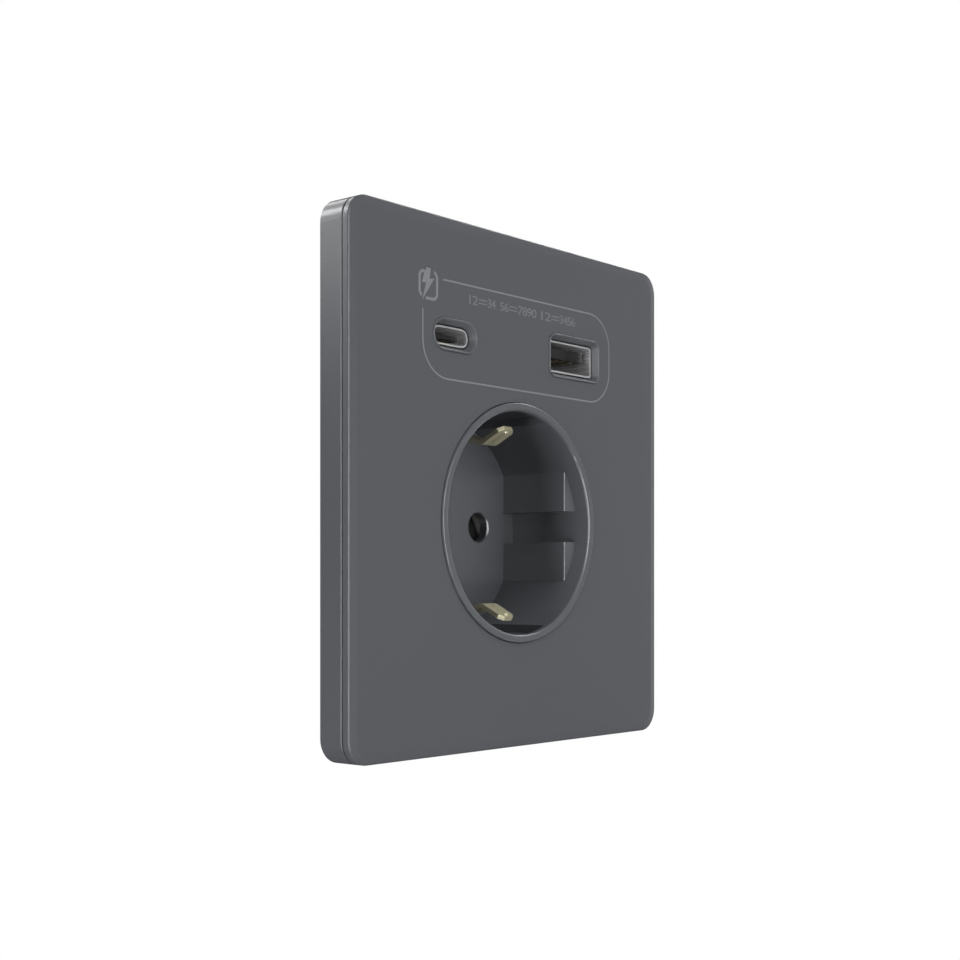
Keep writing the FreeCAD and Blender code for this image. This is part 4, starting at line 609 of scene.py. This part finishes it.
@dataclass
class PlateMarking:
    """The fine lines and signs printed on the plate. Places are x and z from the plate's centre.

    Attributes:
        left, right: The frame line's sides.
        low, high: Its lower and upper lines.
        corner: Its corner radius.
        line: The line's width.
        ink: How far the ink stands out of the plate.
        gap_right: Where the upper line starts.
        gap_low: Where the left line ends.
        corner_steps: How many steps a corner of the line has.
        sign_left, sign_right: The charging sign's sides.
        sign_low, sign_high: Its lower and upper ends.
        sign_turn: Its corner radius.
        sign_wide_turn: The radius of its upper right corner.
        sign_stroke: Its outline's width.
        sign_steps: How many steps a corner of the sign has.
        foot, step: The lower ends of its left side's cut corner.
        top_end, bottom_end: Where its upper left and its lower line end.
        figures_level: The figures' middle.
        figures_high: Their height.
        equals_half: Half the distance between the two lines of a direct current sign.
        equals_line: The width of these lines.
        front: The plate's front.
        FLASH: The flash's corners, in millimetres.
        FIGURES: Each group of figures with its left and right ends, in millimetres.
        EQUALS: The ends of each direct current sign, in millimetres.
    """

    left: float = -25.8 * MM
    right: float = 26.8 * MM
    low: float = 17.95 * MM
    high: float = 34.47 * MM
    corner: float = 6.2 * MM
    line: float = 0.28 * MM
    ink: float = 0.012 * MM
    gap_right: float = -20.78 * MM
    gap_low: float = 29.05 * MM
    corner_steps: int = 16
    sign_left: float = -26.6 * MM
    sign_right: float = -22.3 * MM
    sign_low: float = 30.8 * MM
    sign_high: float = 35.2 * MM
    sign_turn: float = 1.0 * MM
    sign_wide_turn: float = 1.25 * MM
    sign_stroke: float = 0.5 * MM
    sign_steps: int = 8
    foot: Point = (-26.1 * MM, 31.05 * MM)
    step: Point = (-26.6 * MM, 31.75 * MM)
    top_end: Point = (-25.35 * MM, 35.2 * MM)
    bottom_end: Point = (-25.1 * MM, 30.8 * MM)
    figures_level: float = 32.15 * MM
    figures_high: float = 1.55 * MM
    equals_half: float = 0.3 * MM
    equals_line: float = 0.2 * MM
    front: float = field(init=False)

    FLASH: ClassVar[tuple[Point, ...]] = (
        (-25.4, 35.2), (-25.0, 35.4), (-24.95, 35.85), (-23.85, 35.85), (-24.15, 34.1),
        (-23.0, 34.25), (-25.95, 30.35), (-25.0, 33.35), (-26.0, 33.25))
    FIGURES: ClassVar[tuple[tuple[str, float, float], ...]] = (
        ("12", -14.1, -11.8), ("34", -9.2, -7.1), ("56", -5.85, -3.5),
        ("7890", -0.9, 4.4), ("12", 5.8, 8.6), ("3456", 11.3, 16.0))
    EQUALS: ClassVar[tuple[Span, ...]] = ((-11.6, -9.4), (-3.3, -1.1), (8.8, 11.1))

    def __post_init__(self) -> None:
        """Find the plate's front."""
        self.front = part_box("front_panel")[0].y

    def ribbon(self, mesh: bmesh.types.BMesh, points: list[Point], width: float) -> None:
        """Lay a flat printed line along points on the plate.

        Args:
            mesh: The bmesh that takes it.
            points: The line's middle.
            width: The line's width.
        """
        route = [Vector((x, self.front, z)) for x, z in points]
        pairs = []
        for index, point in enumerate(route):
            before = route[max(index - 1, 0)]
            after = route[min(index + 1, len(route) - 1)]
            along = (after - before).normalized()
            side = Vector((-along.z, 0.0, along.x)) * (width / 2)
            pairs.append((mesh.verts.new(point + side), mesh.verts.new(point - side)))
        faces = [mesh.faces.new((a, b, d, c)) for (a, b), (c, d) in zip(pairs, pairs[1:])]
        self.raise_ink(mesh, faces)

    def raise_ink(self, mesh: bmesh.types.BMesh, faces: list[bmesh.types.BMFace]) -> None:
        """Give flat faces the ink's thickness.

        Args:
            mesh: The bmesh.
            faces: The faces, on the plate's front.
        """
        raised = bmesh.ops.extrude_face_region(mesh, geom=faces)
        verts = [item for item in raised["geom"] if isinstance(item, bmesh.types.BMVert)]
        bmesh.ops.translate(mesh, verts=verts, vec=(0.0, -self.ink, 0.0))

    def frame_line(self, finishes: Finishes) -> bpy.types.Object:
        """Make the rounded line round both ports, open at its upper left corner.

        Args:
            finishes: The finishes.

        Returns:
            The line.
        """
        mesh = bmesh.new()
        west, east = self.left + self.corner, self.right - self.corner
        south, north = self.low + self.corner, self.high - self.corner
        points = [(self.left, self.gap_low)]
        for centre, start in (((west, south), 180.0), ((east, south), 270.0), ((east, north), 0.0)):
            points += arc(centre, self.corner, start, start + 90.0, self.corner_steps)
        points.append((self.gap_right, self.high))
        self.ribbon(mesh, points, self.line)
        return finish_piece("printed_frame_line", mesh, finishes, "print_ink")

    def sign(self, finishes: Finishes) -> bpy.types.Object:
        """Make a plain charging sign: a battery's open outline with a flash through it.

        Args:
            finishes: The finishes.

        Returns:
            The sign.
        """
        mesh = bmesh.new()
        turn, wide_turn = self.sign_turn, self.sign_wide_turn
        north, south = self.sign_high - turn, self.sign_low + turn
        left_part = [self.foot, self.step, (self.sign_left, north)]
        left_part += arc((self.sign_left + turn, north), turn, 180.0, 90.0, self.sign_steps)
        left_part.append(self.top_end)
        right_part = arc((self.sign_right - wide_turn, north), wide_turn, 65.0, 0.0,
                         self.sign_steps)
        right_part.append((self.sign_right, south))
        right_part += arc((self.sign_right - turn, south), turn, 0.0, -90.0, self.sign_steps)
        right_part.append(self.bottom_end)
        for part in (left_part, right_part):
            self.ribbon(mesh, part, self.sign_stroke)
        corners = [mesh.verts.new((x * MM, self.front, z * MM)) for x, z in self.FLASH]
        self.raise_ink(mesh, [mesh.faces.new(corners)])
        return finish_piece("printed_charging_sign", mesh, finishes, "print_ink")

    def figures(self, finishes: Finishes) -> bpy.types.Object:
        """Make a row of plain figures with direct current signs between them.

        Args:
            finishes: The finishes.

        Returns:
            The row.
        """
        mesh = bmesh.new()
        low = self.figures_level - self.figures_high / 2
        for text, west, east in self.FIGURES:
            add_text(mesh, text, (west * MM, east * MM), (low, low + self.figures_high),
                     self.front, self.ink)
        for west, east in self.EQUALS:
            for level in (self.equals_half, -self.equals_half):
                z = self.figures_level + level
                self.ribbon(mesh, [(west * MM, z), (east * MM, z)], self.equals_line)
        return finish_piece("printed_figures", mesh, finishes, "print_faint")

    def build(self, finishes: Finishes) -> None:
        """Make every mark of the plate.

        Args:
            finishes: The finishes.
        """
        self.frame_line(finishes)
        self.sign(finishes)
        self.figures(finishes)


@dataclass
class HousingMarking:
    """The raised marks moulded on the rear housing's underside.

    Attributes:
        raised: How far they stand out.
        terminal_pitch: The terminals' spacing.
        letters_at: The letters' middle, behind the wall's surface.
        letter_high, letter_wide: A letter's height and width.
        stroke_half: Half the width of a bar.
        earth_stem: Where the earth sign's stem starts.
        earth_bars: Half the length of each of its bars.
        earth_pitch: The bars' spacing.
        gauge_long: The length of wire to strip, shown by a bar.
        gauge_up: The lower and upper edges of the gauge's two lines.
        number_across, number_up: The box of the gauge's number.
    """

    raised: float = 0.25 * MM
    terminal_pitch: float = 13.0 * MM
    letters_at: float = 22.5 * MM
    letter_high: float = 2.6 * MM
    letter_wide: float = 1.8 * MM
    stroke_half: float = 0.2 * MM
    earth_stem: float = 0.1 * MM
    earth_bars: tuple[float, ...] = (1.5 * MM, 1.0 * MM, 0.5 * MM)
    earth_pitch: float = 0.65 * MM
    gauge_long: float = 11.0 * MM
    gauge_up: tuple[Span, Span] = ((6.0 * MM, 6.4 * MM), (8.0 * MM, 8.4 * MM))
    number_across: Span = (7.0 * MM, 8.6 * MM)
    number_up: Span = (6.2 * MM, 8.2 * MM)

    def bar(self, mesh: bmesh.types.BMesh, across: Span, up: Span) -> None:
        """Add a raised bar on the plane y = 0, facing -Y.

        Args:
            mesh: The bmesh that takes it.
            across: Its left and right ends.
            up: Its lower and upper ends.
        """
        block = bmesh.ops.create_cube(mesh, size=1.0)["verts"]
        size = Vector((across[1] - across[0], self.raised, up[1] - up[0]))
        middle = Vector(((across[0] + across[1]) / 2, -self.raised / 2, (up[0] + up[1]) / 2))
        matrix = Matrix.Translation(middle) @ Matrix.Diagonal((*size, 1.0))
        bmesh.ops.transform(mesh, matrix=matrix, verts=block)

    def letters(self, mesh: bmesh.types.BMesh) -> None:
        """Add the letters of the live and the neutral terminal.

        Args:
            mesh: The bmesh that takes them.
        """
        half_high, half_wide = self.letter_high / 2, self.letter_wide / 2
        for text, x in (("L", self.terminal_pitch), ("N", -self.terminal_pitch)):
            add_text(mesh, text, (x - half_wide, x + half_wide), (-half_high, half_high), 0.0,
                     self.raised)

    def earth_sign(self, mesh: bmesh.types.BMesh) -> None:
        """Add the earth sign: a stem on three shrinking bars.

        Args:
            mesh: The bmesh that takes it.
        """
        thick = self.stroke_half
        self.bar(mesh, (-thick, thick), (self.earth_stem, self.letter_high / 2))
        for index, half in enumerate(self.earth_bars):
            level = -index * self.earth_pitch
            self.bar(mesh, (-half, half), (level - thick, level + thick))

    def gauge(self, mesh: bmesh.types.BMesh) -> None:
        """Add the outline as long as the wire to strip, with its number.

        Args:
            mesh: The bmesh that takes it.
        """
        thick, ends = self.stroke_half, (-self.gauge_long / 2, self.gauge_long / 2)
        lower, upper = self.gauge_up
        for edges in (lower, upper):
            self.bar(mesh, ends, edges)
        for end in ends:
            self.bar(mesh, (end - thick, end + thick), (lower[0], upper[1]))
        add_text(mesh, "11", self.number_across, self.number_up, 0.0, self.raised)

    def build(self, finishes: Finishes) -> bpy.types.Object:
        """Make the marks beside the terminals' screws.

        Args:
            finishes: The finishes.

        Returns:
            The marks, as one piece.
        """
        mesh = bmesh.new()
        self.letters(mesh)
        self.earth_sign(mesh)
        self.gauge(mesh)
        low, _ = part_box("rear_housing")
        place = Matrix.Translation((0.0, self.letters_at, low.z))
        turn = Matrix.Rotation(math.radians(90.0), 4, "X")
        bmesh.ops.transform(mesh, matrix=place @ turn, verts=mesh.verts)
        return finish_piece("housing_terminal_marks", mesh, finishes, "housing_plastic")


@dataclass(frozen=True)
class Softbox:
    """A rectangular light.

    Attributes:
        name: Its name.
        azimuth: Its direction from -Y towards -X, in degrees.
        elevation: Its height, in degrees.
        distance: Its distance, in metres.
        size: Its width and height, in metres.
        power: Its power, in watts.
        fills: False if it lights nothing but reflections.
        mirrors: False if no reflection shows it.
    """

    name: str
    azimuth: float
    elevation: float
    distance: float
    size: tuple[float, float]
    power: float
    fills: bool = False
    mirrors: bool = True


@dataclass
class Studio:
    """The floor, the wall behind the plate, the lights and the camera.

    Attributes:
        ambient: How strongly the surroundings light the object.
        eye: The camera's place, in metres.
        heading: The camera's direction, in degrees from +Y towards +X.
        lens: Its focal length, in millimetres.
        sensor: Its sensor's width, in millimetres.
        rise: Its vertical shift.
        clip: The nearest and the farthest distance that it sees, in metres.
        floor_low: The floor's height.
        floor_half: Half the width of the floor and of the wall.
        wall_gap: How far the wall's face lies behind its true plane.
        LIGHTS: The lights. The ones that mirror give the edges and the ring their bright lines.
    """

    eye: tuple[float, float, float] = (-0.2078, -0.1735, -0.01685)
    heading: float = 49.66
    lens: float = 56.28
    sensor: float = 36.0
    rise: float = 0.1113
    clip: Span = (0.005, 50.0)
    ambient: float = 0.09
    floor_low: float = -0.30
    floor_half: float = 3.0
    wall_gap: float = 0.3 * MM

    LIGHTS: ClassVar[tuple[Softbox, ...]] = (
        Softbox("front_key", -20.0, -8.0, 0.80, (0.70, 0.70), 4.6, fills=True, mirrors=False),
        Softbox("left_fill", 15.0, 5.0, 0.20, (0.10, 0.10), 0.085, fills=True, mirrors=False),
        Softbox("top_fill", 10.0, 65.0, 0.80, (0.40, 0.40), 2.9, fills=True, mirrors=False),
        Softbox("rim_fill", 83.0, -20.0, 0.30, (0.08, 0.16), 0.68, fills=True, mirrors=False),
        Softbox("back_fill", 215.0, 30.0, 0.90, (0.60, 0.60), 7.0, fills=True, mirrors=False),
        Softbox("edge_sheet", 36.0, 0.0, 0.60, (0.30, 0.80), 9.0),
        Softbox("left_strip", 72.0, 5.0, 0.60, (0.06, 0.60), 0.5),
        Softbox("band_strip", -71.0, 2.0, 0.70, (0.09, 0.50), 0.30),
        Softbox("right_sheet", -98.0, 8.0, 0.70, (0.40, 0.60), 1.2),
        Softbox("right_high", -90.0, 38.0, 0.70, (0.40, 0.20), 2.4),
        Softbox("corner_left", 150.0, 36.5, 0.70, (0.20, 0.20), 2.5),
        Softbox("corner_middle", 172.0, 43.0, 0.70, (0.24, 0.20), 0.52),
        Softbox("corner_top", 197.0, 43.0, 0.70, (0.17, 0.17), 0.45),
        Softbox("rim_glow", 136.0, 20.0, 0.70, (0.20, 0.14), 0.9),
    )

    def camera(self) -> None:
        """Stand the camera where the photograph was taken from."""
        data = bpy.data.cameras.new("camera")
        data.lens = self.lens
        data.sensor_width = self.sensor
        data.shift_y = self.rise
        data.clip_start, data.clip_end = self.clip
        item = bpy.data.objects.new("camera", data)
        angle = math.radians(self.heading)
        self.aim(item, Vector(self.eye), Vector((math.sin(angle), math.cos(angle), 0.0)))
        bpy.context.scene.camera = item

    @staticmethod
    def aim(item: bpy.types.Object, place: Vector, direction: Vector) -> None:
        """Stand a camera or a light up in the scene.

        Args:
            item: The camera or the light.
            place: Where it stands.
            direction: Which way it faces.
        """
        item.location = place
        item.rotation_mode = "QUATERNION"
        item.rotation_quaternion = direction.to_track_quat("-Z", "Y")
        bpy.context.scene.collection.objects.link(item)

    @staticmethod
    def backdrop_material(name: str, one_sided: bool) -> bpy.types.Material:
        """Make a plain white that is as bright as the background.

        Args:
            name: The material's name.
            one_sided: True if it is clear from behind.

        Returns:
            The material.
        """
        material = bpy.data.materials.new(name)
        material.use_nodes = True
        nodes, links = material.node_tree.nodes, material.node_tree.links
        nodes.clear()
        output = nodes.new("ShaderNodeOutputMaterial")
        glow = nodes.new("ShaderNodeEmission")
        glow.inputs["Color"].default_value = WHITE
        if not one_sided:
            links.new(glow.outputs[0], output.inputs["Surface"])
            return material
        clear = nodes.new("ShaderNodeBsdfTransparent")
        geometry = nodes.new("ShaderNodeNewGeometry")
        mix = nodes.new("ShaderNodeMixShader")
        links.new(geometry.outputs["Backfacing"], mix.inputs["Fac"])
        links.new(glow.outputs[0], mix.inputs[1])
        links.new(clear.outputs[0], mix.inputs[2])
        links.new(mix.outputs[0], output.inputs["Surface"])
        return material

    @staticmethod
    def sheet(name: str, mesh: bmesh.types.BMesh, material: bpy.types.Material) -> None:
        """Add a flat sheet that only the camera sees: it neither lights nor shades the object.

        Args:
            name: The sheet's name.
            mesh: Its shape.
            material: Its material.
        """
        data = bpy.data.meshes.new(name)
        mesh.to_mesh(data)
        mesh.free()
        data.materials.append(material)
        item = bpy.data.objects.new(name, data)
        bpy.context.scene.collection.objects.link(item)
        item.visible_diffuse = False
        item.visible_glossy = False
        item.visible_shadow = False
        item.visible_transmission = False

    def floor(self) -> None:
        """Lay the pale floor under the plate."""
        mesh = bmesh.new()
        bmesh.ops.create_grid(mesh, x_segments=1, y_segments=1, size=self.floor_half,
                              matrix=Matrix.Translation((0.0, 0.0, self.floor_low)))
        self.sheet("studio_floor", mesh, self.backdrop_material("floor_white", one_sided=False))

    def wall(self) -> None:
        """Stand the wall up, open for the insert behind the plate and clear from behind."""
        low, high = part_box("support_strap")
        reach = self.floor_half
        inner = ((low.x, low.z), (high.x, low.z), (high.x, high.z), (low.x, high.z))
        outer = ((-reach, -reach), (reach, -reach), (reach, reach), (-reach, reach))
        mesh = bmesh.new()
        hole, rim = ([mesh.verts.new((x, self.wall_gap, z)) for x, z in loop]
                     for loop in (inner, outer))
        for index in range(len(inner)):
            after = (index + 1) % len(inner)
            mesh.faces.new((rim[index], rim[after], hole[after], hole[index]))
        self.sheet("studio_wall", mesh, self.backdrop_material("wall_white", one_sided=True))

    def softbox(self, light: Softbox) -> None:
        """Stand a rectangular light up, facing the plate's centre.

        Args:
            light: What it is and where it stands.
        """
        data = bpy.data.lights.new(light.name, "AREA")
        data.shape = "RECTANGLE"
        data.size, data.size_y = light.size
        data.energy = light.power
        item = bpy.data.objects.new(light.name, data)
        a, e = math.radians(light.azimuth), math.radians(light.elevation)
        away = Vector((-math.sin(a) * math.cos(e), -math.cos(a) * math.cos(e), math.sin(e)))
        self.aim(item, away * light.distance, -away)
        item.visible_camera = False
        item.visible_diffuse = light.fills
        item.visible_glossy = light.mirrors

    def world(self) -> None:
        """Give the scene white surroundings that light less than they show."""
        world = bpy.data.worlds.new("studio")
        world.use_nodes = True
        nodes, links = world.node_tree.nodes, world.node_tree.links
        glow = nodes["Background"]
        glow.inputs["Color"].default_value = WHITE
        rays = nodes.new("ShaderNodeLightPath")
        amount = nodes.new("ShaderNodeMapRange")
        amount.inputs["To Min"].default_value = self.ambient
        amount.inputs["To Max"].default_value = 1.0
        links.new(rays.outputs["Is Camera Ray"], amount.inputs["Value"])
        links.new(amount.outputs[0], glow.inputs["Strength"])
        bpy.context.scene.world = world

    def build(self) -> None:
        """Set the whole studio up."""
        self.camera()
        self.floor()
        self.wall()
        self.world()
        for light in self.LIGHTS:
            self.softbox(light)
        settings = bpy.context.scene.view_settings
        settings.view_transform = "Standard"
        settings.look = "None"


def main() -> None:
    """Load the frame, dress it, add the marks and set the studio up."""
    logging.basicConfig(level=logging.INFO, format="%(name)s: %(message)s")
    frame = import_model()
    finishes = Finishes(Effects())
    finishes.dress_frame(frame)
    ShorteningSpring().build(frame, finishes)
    PlateMarking().build(finishes)
    HousingMarking().build(finishes)
    Studio().build()


if __name__ == "__main__":
    main()
